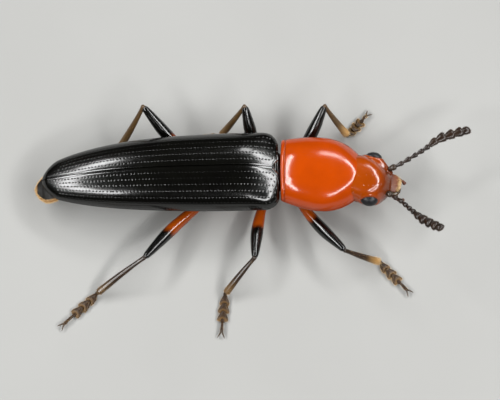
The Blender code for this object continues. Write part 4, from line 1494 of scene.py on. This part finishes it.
@dataclass
class Head:
    """Head capsule with its eyes, upper lip, jaws and palps."""

    at: Forebody
    start: float = 1.60
    end: float = 2.585
    eye: tuple[float, float, float] = (2.11, 0.530, 0.030)
    eye_radii: tuple[float, float, float] = (0.200, 0.145, 0.165)
    eye_groove_start: float = 0.9
    eye_groove: Mark = Mark(-0.014, 0.0, 0.14)
    eye_rim: Mark = Mark(0.008, 1.25, 0.10)
    feeler: tuple[float, float, float] = (2.47, 0.285, 0.02)
    feeler_pit: Mark = Mark(-0.030, 0.0, 0.075)
    mouth_level: float = -0.10
    mouth_ramp: tuple[float, float] = (1.9, 0.66)
    widths: tuple = ((1.70, 0.53), (2.00, 0.585), (2.25, 0.575), (2.45, 0.42), (2.585, 0.27))
    tops: tuple = ((1.70, 0.42), (2.05, 0.43), (2.40, 0.375), (2.585, 0.30))
    bottoms: tuple = ((1.70, 0.36), (2.00, 0.41), (2.35, 0.41), (2.585, 0.23))
    fullness: float = 0.80
    brow: float = 2.475
    brow_side: float = -0.18
    brow_curve: float = 1.30
    brow_start: float = 0.10
    brow_soft: float = 0.07
    brow_slope: float = 0.85
    brow_rise: float = 0.40
    brow_most: float = 0.75
    brow_side_fall: float = 0.50
    brow_side_ramp: tuple[float, float] = (0.14, 0.36)
    forehead_line: Mark = Mark(-0.002, 2.40, 0.020)
    forehead_bow: float = 0.25
    forehead_half: float = 0.4
    front_bead: Mark = Mark(0.012, 2.57, 0.018)
    throat_line: Mark = Mark(-0.010, 0.17, 0.014)
    line_fade: float = 0.06
    shade_most: float = 0.85
    shade_ramp: tuple[float, float] = (2.20, 0.36)
    rings: int = 170
    sides: int = 240
    jaw_route: tuple = ((2.50, 0.20, -0.19), (2.60, 0.205, -0.20), (2.73, 0.17, -0.22),
                        (2.805, 0.045, -0.225))
    jaw_radii: tuple = ((0.0, 0.075), (0.5, 0.060), (0.85, 0.028), (1.0, 0.012))
    jaw_tooth: Mark = Mark(0.012, 0.80, 0.05)
    palp_start: tuple[float, float, float] = (2.56, 0.16, -0.325)
    palp_routes: tuple = (
        ((0.0, 0.0, 0.0), (0.13, 0.085, -0.03), (0.25, 0.090, -0.10), (0.345, 0.04, -0.17)),
        ((-0.02, -0.08, -0.03), (0.06, -0.075, -0.06), (0.13, -0.07, -0.11), (0.17, -0.06, -0.15)),
    )
    palp_joints: tuple = (
        ((0.0, 0.16, 0.026), (0.15, 0.44, 0.034), (0.42, 0.66, 0.034), (0.64, 1.0, 0.044)),
        ((0.0, 0.30, 0.020), (0.28, 0.62, 0.024), (0.60, 1.0, 0.032)),
    )
    lip_start: float = 2.555
    lip_length: float = 0.215
    lip_half: float = 0.225
    lip_thickness: float = 0.052
    lip_notch: float = 0.030
    lip_notch_half: float = 0.06
    lip_notch_ramp: tuple[float, float] = (0.6, 0.4)
    lip_shade: float = 0.30
    lip_shade_length: float = 0.4

    def build(self, finishes: Finishes, rng: np.random.Generator) -> None:
        """Make every piece of the head.

        Args:
            finishes: the beetle's materials.
            rng: source of random numbers.
        """
        self.build_capsule(finishes)
        for side in Side:
            self.build_eye(side, finishes)
            self.build_jaw(side, finishes)
            self.build_palps(side, finishes)
        self.build_lip(finishes, rng)

    def roll_brow(self, grid: Array, level: Array) -> None:
        """Bend the front of the capsule down.

        Args:
            grid: rings of the capsule, which are changed.
            level: height of each ring's widest line.
        """
        across = grid[..., 1]
        behind = self.brow - grid[..., 0] - self.brow_curve * (across - self.brow_side) ** 2
        fall = self.brow_slope * soft_ramp(self.brow_start - behind, self.brow_soft)
        rise = np.maximum(grid[..., 2] - level[:, None], 0.0)
        most = self.brow_most - self.brow_side_fall * ramp(np.abs(across), *self.brow_side_ramp)
        grid[..., 2] -= np.minimum(fall * np.clip(rise / self.brow_rise, 0.0, 1.0), most * rise)

    def relief(self, grid: Array, level: Array) -> Array:
        """Eye rims, feeler pits and lines of the capsule.

        Args:
            grid: rings of the smooth capsule.
            level: height of each ring's widest line.

        Returns:
            Height over the rings at each point.
        """
        height = np.zeros(grid.shape[:2])
        for side in Side:
            mirror = np.array([1.0, side.value, 1.0])
            reach = np.linalg.norm((grid - self.eye * mirror) / self.eye_radii, axis=-1)
            height += self.eye_groove.over(np.maximum(reach - self.eye_groove_start, 0.0))
            height += self.eye_rim.over(reach)
            height += self.feeler_pit.over(np.linalg.norm(grid - self.feeler * mirror, axis=-1))
        over = grid[..., 2] - level[:, None]
        bow = self.forehead_bow * (grid[..., 1] / self.forehead_half) ** 2
        lines = self.forehead_line.over(grid[..., 0] + bow) + self.front_bead.over(grid[..., 0])
        height += lines * ramp(over, 0.0, self.line_fade)
        throat = self.throat_line.over(np.abs(grid[..., 1]))
        return height + throat * ramp(over, 0.0, -self.line_fade)

    def build_capsule(self, finishes: Finishes) -> None:
        """Make the capsule with its eye rims, feeler pits and forehead line.

        Args:
            finishes: the beetle's materials.
        """
        x = np.linspace(self.start, self.end, self.rings)
        level = self.mouth_level * ramp(x, *self.mouth_ramp)
        grid = egg_section(x, stops_at(self.widths, x), stops_at(self.tops, x) - level,
                           stops_at(self.bottoms, x) + level, level, self.sides, self.fullness)
        self.roll_brow(grid, level)
        middle = np.stack([x, np.zeros_like(x), level], axis=-1)[:, None, :]
        grid = pushed_out(grid, self.relief(grid, level), middle)
        shade = self.shade_most * ramp(grid[..., 0], *self.shade_ramp)
        shape = Shape.of_grid(self.at.place_head(grid), shade)
        shape.build("head_capsule", finishes.head, Slot.RED, ["head"])

    def build_eye(self, side: Side, finishes: Finishes) -> None:
        """Make one bulging eye.

        Args:
            side: side that it is on.
            finishes: the beetle's materials.
        """
        centre = self.eye * np.array([1.0, side.value, 1.0])
        grid = ball(centre, self.eye_radii, 48, 64, 0.02, 1)
        Shape.of_grid(self.at.place_head(grid)).build(
            f"eye_lens_{side.label}", finishes.eye, Slot.EYE, [f"eye_{side.label}"])

    def build_jaw(self, side: Side, finishes: Finishes) -> None:
        """Make one hooked jaw.

        Args:
            side: side that it is on.
            finishes: the beetle's materials.
        """
        places = round_places(36)
        path = curve_through(self.jaw_route * np.array([1.0, side.value, 1.0]), places)
        half = stops_at(self.jaw_radii, places)
        grid = tube(path, half + self.jaw_tooth.over(places), half * 0.85, 20)
        Shape.of_grid(self.at.place_head(grid), 0.25 * (1.0 - places[:, None])).build(
            f"jaw_{side.label}", finishes.brown, Slot.BROWN, [f"mandible_{side.label}"])

    def build_palps(self, side: Side, finishes: Finishes) -> None:
        """Make one jointed palp, and the small lip palp inside it.

        Args:
            side: side that they are on.
            finishes: the beetle's materials.
        """
        shape = Shape()
        mirror = np.array([1.0, side.value, 1.0])
        places = round_places(18)
        profile = (0.62 + 0.38 * ramp(places, 0.0, 0.8)) * nosed(places, 0.18)
        for offsets, joints in zip(self.palp_routes, self.palp_joints):
            route = self.palp_start * mirror + offsets * mirror
            for low, high, radius in joints:
                path = curve_through(route, low + (high - low) * places)
                grid = tube(path, radius * profile, radius * profile, 14)
                shape.add_grid(self.at.place_head(grid), 0.15 + 0.5 * places[:, None])
        shape.build(f"mouth_palp_{side.label}", finishes.amber, Slot.AMBER, [f"palp_{side.label}"])

    def build_lip(self, finishes: Finishes, rng: np.random.Generator) -> None:
        """Make the upper lip and the hairs round the mouth.

        Args:
            finishes: the beetle's materials.
            rng: source of random numbers.
        """
        place = round_places(44)
        past = np.maximum(place - 0.25, 0.0) ** 2.6 / 0.75 ** 2.6
        half = self.lip_half * np.sqrt(np.maximum(1.0 - past, 0.02))
        thick = self.lip_thickness * (1.0 - 0.55 * place) * nosed(place, 0.12)
        level = self.mouth_level + 0.045 - 0.055 * place
        grid = egg_section(self.lip_start + self.lip_length * place, half, thick, thick, level,
                           64, 0.85)
        notch = self.lip_notch * ramp(place, *self.lip_notch_ramp)
        grid[..., 0] -= notch[:, None] * hump(grid[..., 1], self.lip_notch_half)
        grid = self.at.place_head(grid)
        shade = self.lip_shade * (1.0 - ramp(place, 0.0, self.lip_shade_length))
        shape = Shape.of_grid(grid, shade[:, None])
        shape.build("upper_lip", finishes.amber, Slot.AMBER, ["labrum"])
        coat = Coat(rng, 3)
        coat.grow(grid, 40, 0.070, 0.0036, 0.35, (0.40, 0.90), (0.0, 0.5), droop=0.1, spread=0.18)
        coat.next_part()
        coat.grow(grid, 260, 0.075, 0.0046, 0.35, (0.62, 0.97), lean=(0.8, 0.0, 0.0),
                  droop=0.1, spread=0.16)
        coat.shape.build("mouth_hairs", finishes.gold_hair, Slot.AMBER)


@dataclass
class Feeler:
    """One feeler of eleven joints: scape, thin stalk and toothed club."""

    side: Side
    route: tuple
    shares: tuple = (0.0, 0.095, 0.180, 0.270, 0.355, 0.435, 0.510, 0.600, 0.700, 0.800, 0.895,
                     0.978)
    radii: tuple = (0.074, 0.058, 0.060, 0.058, 0.060, 0.066, 0.090, 0.115, 0.118, 0.116, 0.098)
    club_start: int = 6
    scape_profile: tuple = ((0.0, 0.55), (0.30, 0.80), (0.65, 1.0), (1.0, 0.72))
    stalk_profile: tuple = ((0.0, 0.48), (0.30, 0.66), (0.72, 1.0), (1.0, 0.86))
    club_profile: tuple = ((0.0, 0.42), (0.30, 0.70), (0.75, 1.0), (1.0, 0.90))
    end_profile: tuple = ((0.0, 0.40), (0.35, 0.95), (0.60, 1.0), (1.0, 0.60))
    club_lap: float = 0.022
    stalk_lap: float = 0.004
    club_flatness: float = 0.70
    stalk_flatness: float = 0.96
    tooth_share: float = 0.45
    tooth_start: float = 0.045

    def profile_of(self, joint: int) -> tuple:
        """Outline of a joint.

        Args:
            joint: its number, from the head outward.

        Returns:
            Stops along the joint, each with a share of its radius.
        """
        if joint == 0:
            return self.scape_profile
        if joint == len(self.radii) - 1:
            return self.end_profile
        return self.club_profile if joint >= self.club_start else self.stalk_profile

    def build(self, finishes: Finishes, rng: np.random.Generator) -> None:
        """Make the joints and their hairs.

        Args:
            finishes: the beetle's materials.
            rng: source of random numbers.
        """
        shape, coat = Shape(), Coat(rng, len(self.radii))
        places = round_places(26)
        for joint, radius in enumerate(self.radii):
            club = joint >= self.club_start
            low = self.shares[joint]
            high = self.shares[joint + 1] + (self.club_lap if club else self.stalk_lap)
            path = curve_through(self.route, low + (high - low) * places)
            half = radius * stops_at(self.profile_of(joint), places) * nosed(places, 0.16)
            tall = half * (self.club_flatness if club else self.stalk_flatness)
            tooth = np.maximum(half - self.tooth_start, 0.0) * (self.tooth_share if club else 0.0)
            grid = tube(path, half, tall, 26, self.side.value * tooth)
            shape.add_grid(grid, 0.0 if joint else 0.03)
            if joint:
                coat.grow(grid, 240 if club else 30, 0.030 if club else 0.036, 0.0038, 0.35,
                          (0.12, 0.95), droop=0.1, spread=0.22)
            coat.next_part()
        label = self.side.label
        nodes = [f"antenna_{label}_{part}" for part in ("scape", "stalk", "club")]
        shape.build(f"feeler_{label}", finishes.brown, Slot.BROWN, nodes)
        coat.shape.build(f"feeler_hairs_{label}", finishes.dark_hair, Slot.BROWN)


@dataclass
class Leg:
    """One leg from the hip to the claws."""

    name: str
    coxa: tuple[float, float, float]
    coxa_radii: tuple[float, float, float]
    knee: tuple[float, float, float]
    ankle: tuple[float, float, float]
    toe: tuple[float, float, float]
    bow: float
    red: float
    brush: float = 0.0
    # Painted light: share of the pale second colour laid on the shin, larger on the far-side legs
    # so that they look lit warmer.
    painted_light_warmth: float = 0.01
    hip_dip: float = -0.35
    hip_overlap: float = 0.02
    thigh_sag: float = 0.16
    femur_radius: float = 0.142
    hip_groove: Mark = Mark(-0.10, 0.105, 0.022)
    red_wave: tuple[float, float] = (0.03, 0.012)
    red_fade: float = 0.10
    shin_start: float = -0.03
    pale_ramp: tuple[float, float] = (0.55, 0.4)
    tibia_radius: float = 0.074
    apex_radius: float = 0.084
    foot_start: float = 0.02
    lobe_half: float = 0.126
    lobe_height: float = 0.095
    lobe_sizes: tuple[float, ...] = (0.86, 1.0, 0.95)
    lobe_share: float = 0.56
    lobe_overlap: float = 1.10
    lobe_above: float = 0.62
    lobe_below: float = 0.38
    lobe_notch: float = 0.06
    lobe_notch_ramp: tuple[float, float] = (0.35, 0.65)
    lobe_pale: float = 0.24
    lobe_pale_ramp: tuple[float, float] = (0.6, 0.4)
    lobe_rings: int = 34
    lobe_sides: int = 36
    foot_shade: float = 0.02
    lobe_widths: tuple = ((0.0, 0.34), (0.35, 0.66), (0.80, 1.0), (1.0, 0.92))
    lobe_heights: tuple = ((0.0, 0.85), (0.5, 1.0), (1.0, 0.62))
    clearance: float = 0.008
    joint_radius: float = 0.040
    joint_level: float = 0.075
    bead_level: float = 0.055
    claw_radius: float = 0.022
    claw_length: float = 0.17
    claw_spread: float = 0.5
    claw_level: float = 0.018

    def thigh_path(self, places: Array) -> Array:
        """Middle line of the thigh: out from under the hip, then up to the knee.

        Args:
            places: shares of the thigh's length.

        Returns:
            One point for each place.
        """
        coxa, knee = np.array(self.coxa), np.array(self.knee)
        outward = unit((knee - coxa) * np.array([1.0, 1.0, 0.0]))
        outward = unit(outward + UP * self.hip_dip)
        reach = 1.0 / math.sqrt(float(np.sum((outward / np.array(self.coxa_radii)) ** 2)))
        start = coxa + outward * (reach - self.hip_overlap)
        across = unit(np.array([start[1] - knee[1], knee[0] - start[0], 0.0]))
        sag = UP * self.thigh_sag * (knee[2] - start[2])
        middle = (start + knee) / 2.0 + across * self.bow - sag
        return curve_through([start, middle, knee], places)

    def build(self, finishes: Finishes, rng: np.random.Generator) -> None:
        """Make every length of the leg and its hairs.

        Args:
            finishes: the beetle's materials.
            rng: source of random numbers.
        """
        hip = ball(self.coxa, self.coxa_radii, 30, 40, 0.03, 2)
        Shape.of_grid(hip).build(f"hip_{self.name}", finishes.red, Slot.RED,
                                 [f"leg_{self.name}_coxa"])
        self.build_thigh(finishes)
        coat = Coat(rng, 8)
        self.build_shin(finishes, coat)
        self.build_foot(finishes, coat)
        hair = finishes.gold_hair if self.brush > 0.5 else finishes.leg_hair
        coat.shape.build(f"hairs_{self.name}", hair, Slot.AMBER)

    def build_thigh(self, finishes: Finishes) -> None:
        """Make the small ring at the hip and the two-coloured thigh.

        Args:
            finishes: the beetle's materials.
        """
        places = round_places(90)
        half = stops_at(((0.0, 0.078), (0.12, 0.096), (0.58, self.femur_radius), (0.86, 0.104),
                         (1.0, 0.068)), places) * nosed(places, 0.045)
        half = half * (1.0 + self.hip_groove.over(places))
        grid = tube(self.thigh_path(places), half, half * 1.08, 40)
        angle, (wave, ripple) = full_turn(40), self.red_wave
        edge = self.red + wave * np.sin(angle) + ripple * np.sin(3.0 * angle + 1.0)
        colour = 1.0 - ramp(places[:, None], edge - self.red_fade / 2.0, self.red_fade)
        Shape.of_grid(grid, colour).build(f"thigh_{self.name}", finishes.black, Slot.BLACK,
                                          [f"leg_{self.name}_femur"])

    def build_shin(self, finishes: Finishes, coat: Coat) -> None:
        """Make the shin and the brush at its end.

        Args:
            finishes: the beetle's materials.
            coat: the leg's hairs.
        """
        knee, ankle = np.array(self.knee), np.array(self.ankle)
        run = ankle - knee
        across = unit(np.array([-run[1], run[0], 0.0]))
        places = round_places(70)[:, None]
        line = knee + run * (places * (1.0 - self.shin_start) + self.shin_start)
        line = line + across * self.bow * places * (1.0 - places)
        places = places[:, 0]
        half = stops_at(((0.0, 0.056), (0.12, 0.050), (0.45, self.tibia_radius * 0.90),
                         (0.85, self.tibia_radius * 1.12), (1.0, self.apex_radius)), places)
        half = half * nosed(places, 0.030)
        grid = tube(line, half, half * 0.92, 28)
        pale = self.brush * ramp(places, *self.pale_ramp)
        # Painted light makes the far-side shins paler and warmer, on top of the real pale colour at
        # the brush end.
        shape = Shape.of_grid(grid, np.clip(self.painted_light_warmth + pale, 0.0, 1.0)[:, None])
        shape.build(f"shin_{self.name}", finishes.brown, Slot.BROWN, [f"leg_{self.name}_tibia"])
        coat.grow(grid, 70, 0.045, 0.0028, 0.22, (0.20, 0.98), droop=0.1)
        coat.next_part()
        coat.grow(grid, int(50 + 380 * self.brush), 0.065, 0.0040, 0.16, (0.74, 0.99), droop=0.05)
        coat.next_part()

    def lobe(self, joint: int, length: float, ground: Array, forward: Array,
             across: Array) -> Array:
        """Rings of one notched lobe of the foot.

        Args:
            joint: its number, from the ankle outward.
            length: length of a lobe.
            ground: point on the ground where the lobes begin.
            forward: direction of the foot.
            across: level direction square to it.

        Returns:
            Array of rings, sides and coordinates.
        """
        places, angle = round_places(self.lobe_rings), full_turn(self.lobe_sides)
        size = self.lobe_sizes[joint]
        half = self.lobe_half * size * stops_at(self.lobe_widths, places) * nosed(places, 0.10)
        tall = self.lobe_height * size * stops_at(self.lobe_heights, places)
        tall = tall * nosed(places, 0.14)
        share = np.where(np.sin(angle) > 0.0, self.lobe_above, self.lobe_below)
        rise = share * tall[:, None] * np.sin(angle)
        start_level = 0.045 if joint else 0.09
        slope = stops_at(((0.0, start_level), (0.45, 0.012), (1.0, 0.0)), places)
        level = self.lobe_below * self.lobe_height + 0.012 + slope[:, None] + rise
        notch = self.lobe_notch * ramp(places, *self.lobe_notch_ramp)[:, None]
        notch = notch * (np.abs(np.cos(angle)) ** 1.6 - 0.5)
        ahead = (length * (joint + places * self.lobe_overlap))[:, None] + notch
        side = half[:, None] * np.cos(angle)
        grid = (ground + forward * ahead[..., None] + across * side[..., None]
                + UP * level[..., None])
        grid[..., 2] = np.maximum(grid[..., 2], self.clearance)
        return grid

    def build_foot(self, finishes: Finishes, coat: Coat) -> None:
        """Make the three lobes, the tiny fourth joint, the claw joint and the claws.

        Args:
            finishes: the beetle's materials.
            coat: the leg's hairs.
        """
        ankle, toe = np.array(self.ankle), np.array(self.toe)
        down = unit(ankle - np.array(self.knee))
        plan = (toe - ankle) * np.array([1.0, 1.0, 0.0])
        reach = float(np.linalg.norm(plan))
        forward = unit(plan)
        across = np.array([-forward[1], forward[0], 0.0])
        start = ankle + down * self.foot_start
        ground = np.array([start[0], start[1], 0.0]) + forward * self.foot_start
        lobes = reach * self.lobe_share
        length = lobes / len(self.lobe_sizes)
        shape = Shape()
        pale = self.lobe_pale * ramp(round_places(self.lobe_rings), *self.lobe_pale_ramp)
        shade = (self.foot_shade + pale)[:, None]
        for joint in range(len(self.lobe_sizes)):
            grid = self.lobe(joint, length, ground, forward, across)
            shape.add_grid(grid, shade)
            coat.grow(grid, 280, 0.044, 0.0034, 0.30, (0.25, 0.97), (0.46, 1.04), droop=0.1)
            coat.grow(grid, 36, 0.036, 0.0026, 0.22, (0.20, 0.97), (0.04, 0.46), droop=0.1)
            coat.next_part()
        bead = ground + forward * (lobes + self.foot_start + 0.01) + UP * self.bead_level
        last = toe - forward * self.claw_length * 0.75 + UP * self.joint_level
        places = round_places(40)
        route = [ankle - down * 0.05, ankle + down * 0.03,
                 ground + forward * 0.03 + UP * self.joint_level]
        neck = np.interp(places, [0.0, 0.5, 1.0], [0.050, 0.046, 0.030]) * nosed(places, 0.12)
        shape.add_grid(tube(curve_through(route, places), neck, neck, 20), self.foot_shade)
        small = curve_through([bead - forward * 0.05, bead, bead + forward * 0.06], places)
        nose = nosed(places, 0.3)
        shape.add_grid(tube(small, 0.042 * nose, 0.036 * nose, 18), self.foot_shade)
        arch = bead + (last - bead) * 0.5 + UP * 0.032
        half = stops_at(((0.0, 0.026), (0.5, 0.032), (1.0, self.joint_radius)), places)
        half = half * nosed(places, 0.10)
        grid = tube(curve_through([bead, arch, last], places), half, half * 0.9, 22)
        shape.add_grid(grid, self.foot_shade)
        coat.grow(grid, 50, 0.055, 0.0038, 0.35, (0.3, 0.95), droop=0.1)
        shape.build(f"foot_{self.name}", finishes.foot, Slot.BROWN, [f"leg_{self.name}_tarsus"])
        self.build_claws(last, forward, across, finishes)

    def build_claws(self, last: Array, forward: Array, across: Array,
                    finishes: Finishes) -> None:
        """Make the two hooked claws.

        Args:
            last: end of the claw joint.
            forward: direction of the foot.
            across: level direction square to it.
            finishes: the beetle's materials.
        """
        shape = Shape()
        places = round_places(30)
        half = self.claw_radius * stops_at(((0.0, 1.0), (0.4, 0.85), (1.0, 0.14)), places)
        for side in Side:
            spread = (forward * math.cos(self.claw_spread)
                      + across * side.value * math.sin(self.claw_spread))
            reach = spread * self.claw_length
            tip = last + reach
            hook = [last - forward * 0.03, last + reach * 0.35 + UP * 0.014,
                    last + reach * 0.78 - UP * 0.010, [tip[0], tip[1], self.claw_level]]
            grid = tube(curve_through(hook, places), half, half * 1.1, 16)
            shape.add_grid(grid, self.foot_shade + 0.10 * places[:, None])
        shape.build(f"claws_{self.name}", finishes.brown, Slot.BROWN, [f"leg_{self.name}_claws"])


@dataclass(frozen=True)
class SoftBox:
    """One soft box that faces the beetle: its angles in degrees, size and strength."""

    name: str
    azimuth: float
    elevation: float
    width: float
    height: float
    power: float


def hung(right: Array, upward: Array, back: Array, place: Array) -> Matrix:
    """Matrix of a camera or lamp.

    Args:
        right: its direction to the right.
        upward: its upward direction.
        back: the direction away from what it faces.
        place: where it hangs, in millimetres.

    Returns:
        The matrix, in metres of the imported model.
    """
    matrix = np.eye(4)
    matrix[:3, 0], matrix[:3, 1], matrix[:3, 2] = right, upward, back
    matrix[:3, 3] = place * MM + SHIFT
    return Matrix(matrix.tolist())


@dataclass
class Studio:
    """Pale floor, soft lights and the camera."""

    finishes: Finishes
    elevation: float = math.radians(72.0)
    azimuth: float = math.radians(-1.6)
    distance: float = 110.0
    target: tuple[float, float, float] = (0.0, -0.678, 0.95)
    pixel: float = 8.5 / 369.0
    image_width: float = 500.0
    sensor: float = 36.0
    clip: tuple[float, float] = (0.001, 10.0)
    floor_size: float = 1500.0
    floor_gap: float = 0.002
    light_distance: float = 60.0
    arc_turns: tuple[float, ...] = (-46.0, -23.0, 0.0, 23.0, 46.0)
    sky: float = 0.025

    def soft_boxes(self) -> list[SoftBox]:
        """Lights of the studio.

        Returns:
            An arc of boxes in front of the beetle, one behind it, and one at each side.
        """
        boxes = []
        for turn in self.arc_turns:
            boxes.append(SoftBox(f"front_{turn:.0f}", turn, 44.0, 17.0, 8.0, 0.0094))
            boxes.append(SoftBox(f"rear_{turn:.0f}", 180.0 + turn, 43.5, 17.0, 8.0, 0.0098))
        boxes.append(SoftBox("front_side", 70.0, 44.0, 14.0, 9.0, 0.0050))
        boxes.append(SoftBox("near_side", -68.0, 44.0, 15.0, 9.0, 0.0075))
        return boxes

    def build_camera(self) -> None:
        """Make the camera and look through it."""
        back = np.array([math.sin(self.azimuth) * math.cos(self.elevation),
                         -math.cos(self.azimuth) * math.cos(self.elevation),
                         math.sin(self.elevation)])
        right = np.array([math.cos(self.azimuth), math.sin(self.azimuth), 0.0])
        data = bpy.data.cameras.new("camera")
        data.type = "PERSP"
        data.sensor_width = self.sensor
        data.lens = self.sensor * (self.distance / self.pixel) / self.image_width
        data.clip_start, data.clip_end = self.clip
        camera = bpy.data.objects.new("camera", data)
        camera.matrix_world = hung(right, np.cross(back, right), back,
                                   np.array(self.target) + back * self.distance)
        bpy.context.scene.collection.objects.link(camera)
        bpy.context.scene.camera = camera

    def build_floor(self) -> None:
        """Lay the plain floor."""
        mesh = bpy.data.meshes.new("floor")
        half = self.floor_size * MM / 2.0
        corners = ((-half, -half, 0.0), (half, -half, 0.0), (half, half, 0.0), (-half, half, 0.0))
        mesh.from_pydata(corners, [], [(0, 1, 2, 3)])
        mesh.materials.append(self.finishes.floor)
        floor = bpy.data.objects.new("floor", mesh)
        floor.location.z = -self.floor_gap * MM
        bpy.context.scene.collection.objects.link(floor)

    def build_light(self, box: SoftBox) -> None:
        """Hang one soft box.

        Args:
            box: what it is like.
        """
        data = bpy.data.lights.new(box.name, "AREA")
        data.shape = "RECTANGLE"
        data.size, data.size_y = box.width * MM, box.height * MM
        data.energy = box.power
        light = bpy.data.objects.new(box.name, data)
        turn, lift = math.radians(box.azimuth), math.radians(box.elevation)
        back = np.array([math.cos(turn) * math.cos(lift), math.sin(turn) * math.cos(lift),
                         math.sin(lift)])
        right = unit(np.cross(UP, back))
        light.matrix_world = hung(right, np.cross(back, right), back,
                                  np.array(self.target) + back * self.light_distance)
        bpy.context.scene.collection.objects.link(light)

    def build_sky(self) -> None:
        """Make the dim sky."""
        world = bpy.data.worlds.new("soft_sky")
        world.use_nodes = True
        background = world.node_tree.nodes["Background"]
        background.inputs["Color"].default_value = (1.0, 1.0, 1.0, 1.0)
        background.inputs["Strength"].default_value = self.sky
        bpy.context.scene.world = world

    def build(self) -> None:
        """Make the floor, the lights, the sky and the camera."""
        self.build_floor()
        for box in self.soft_boxes():
            self.build_light(box)
        self.build_sky()
        bpy.context.scene.view_settings.view_transform = "Standard"
        self.build_camera()


ROUND_HIP = (0.17, 0.15, 0.16)
LONG_HIP = (0.15, 0.20, 0.16)

# The left legs are on the far side, and their shins carry painted light that makes them paler and
# warmer.
LEGS = (
    Leg("front_right", coxa=(0.95, -0.28, 0.37), coxa_radii=ROUND_HIP, knee=(2.15, -1.90, 0.78),
        ankle=(2.95, -2.00, 0.15), toe=(3.64, -2.77, 0.0), bow=-0.04, red=0.39, brush=0.75),
    Leg("front_left", coxa=(0.85, 0.22, 0.37), coxa_radii=ROUND_HIP, knee=(1.79, 1.52, 1.08),
        ankle=(2.31, 1.12, 0.15), toe=(2.86, 1.68, 0.0), bow=-0.06, red=0.30, brush=0.75,
        painted_light_warmth=0.12),
    Leg("middle_right", coxa=(0.38, -0.26, 0.37), coxa_radii=ROUND_HIP, knee=(0.07, -2.01, 0.75),
        ankle=(-0.61, -2.66, 0.15), toe=(-0.75, -3.68, 0.0), bow=-0.05, red=0.49, brush=0.2),
    Leg("middle_left", coxa=(0.38, 0.26, 0.37), coxa_radii=ROUND_HIP, knee=(-0.06, 1.55, 1.12),
        ankle=(-0.61, 1.20, 0.15), toe=(-1.53, 1.02, 0.0), bow=0.04, red=0.42, brush=0.2,
        painted_light_warmth=0.12),
    Leg("hind_right", coxa=(-0.80, -0.26, 0.37), coxa_radii=LONG_HIP, knee=(-2.47, -1.94, 0.74),
        ankle=(-3.56, -2.57, 0.15), toe=(-4.45, -3.36, 0.0), bow=-0.07, red=0.58, brush=0.1),
    Leg("hind_left", coxa=(-0.88, 0.26, 0.37), coxa_radii=LONG_HIP, knee=(-2.41, 1.60, 1.15),
        ankle=(-2.97, 0.98, 0.15), toe=(-4.02, 0.60, 0.0), bow=0.07, red=0.50, brush=0.1,
        painted_light_warmth=0.12),
)

FEELER_ROUTES = {
    Side.LEFT: ((3.52, 0.09, 1.02), (3.97, 0.35, 1.05), (4.45, 0.65, 1.03), (5.15, 0.87, 0.97)),
    Side.RIGHT: ((3.44, -0.84, 1.14), (3.76, -1.22, 1.36), (4.06, -1.50, 1.58),
                 (4.38, -1.74, 1.78)),
}


def write_sizes() -> None:
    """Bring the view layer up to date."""
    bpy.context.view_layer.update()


def main() -> None:
    """Build every piece of the beetle, then the studio."""
    logging.basicConfig(level=logging.INFO, format="%(name)s: %(message)s")
    rng = np.random.default_rng(7)
    finishes = Finishes()
    body, forebody = HindBody(), Forebody()
    WingCases(body).build(finishes, rng)
    Underside(body).build(finishes, rng)
    Pronotum(forebody).build(finishes)
    head = Head(forebody)
    head.build(finishes, rng)
    for side, route in FEELER_ROUTES.items():
        base = forebody.place_head(head.feeler * np.array([1.0, side.value, 1.0]))
        Feeler(side, (tuple(base), *route)).build(finishes, rng)
    for leg in LEGS:
        leg.build(finishes, rng)
    Studio(finishes).build()
    write_sizes()


if __name__ == "__main__":
    main()
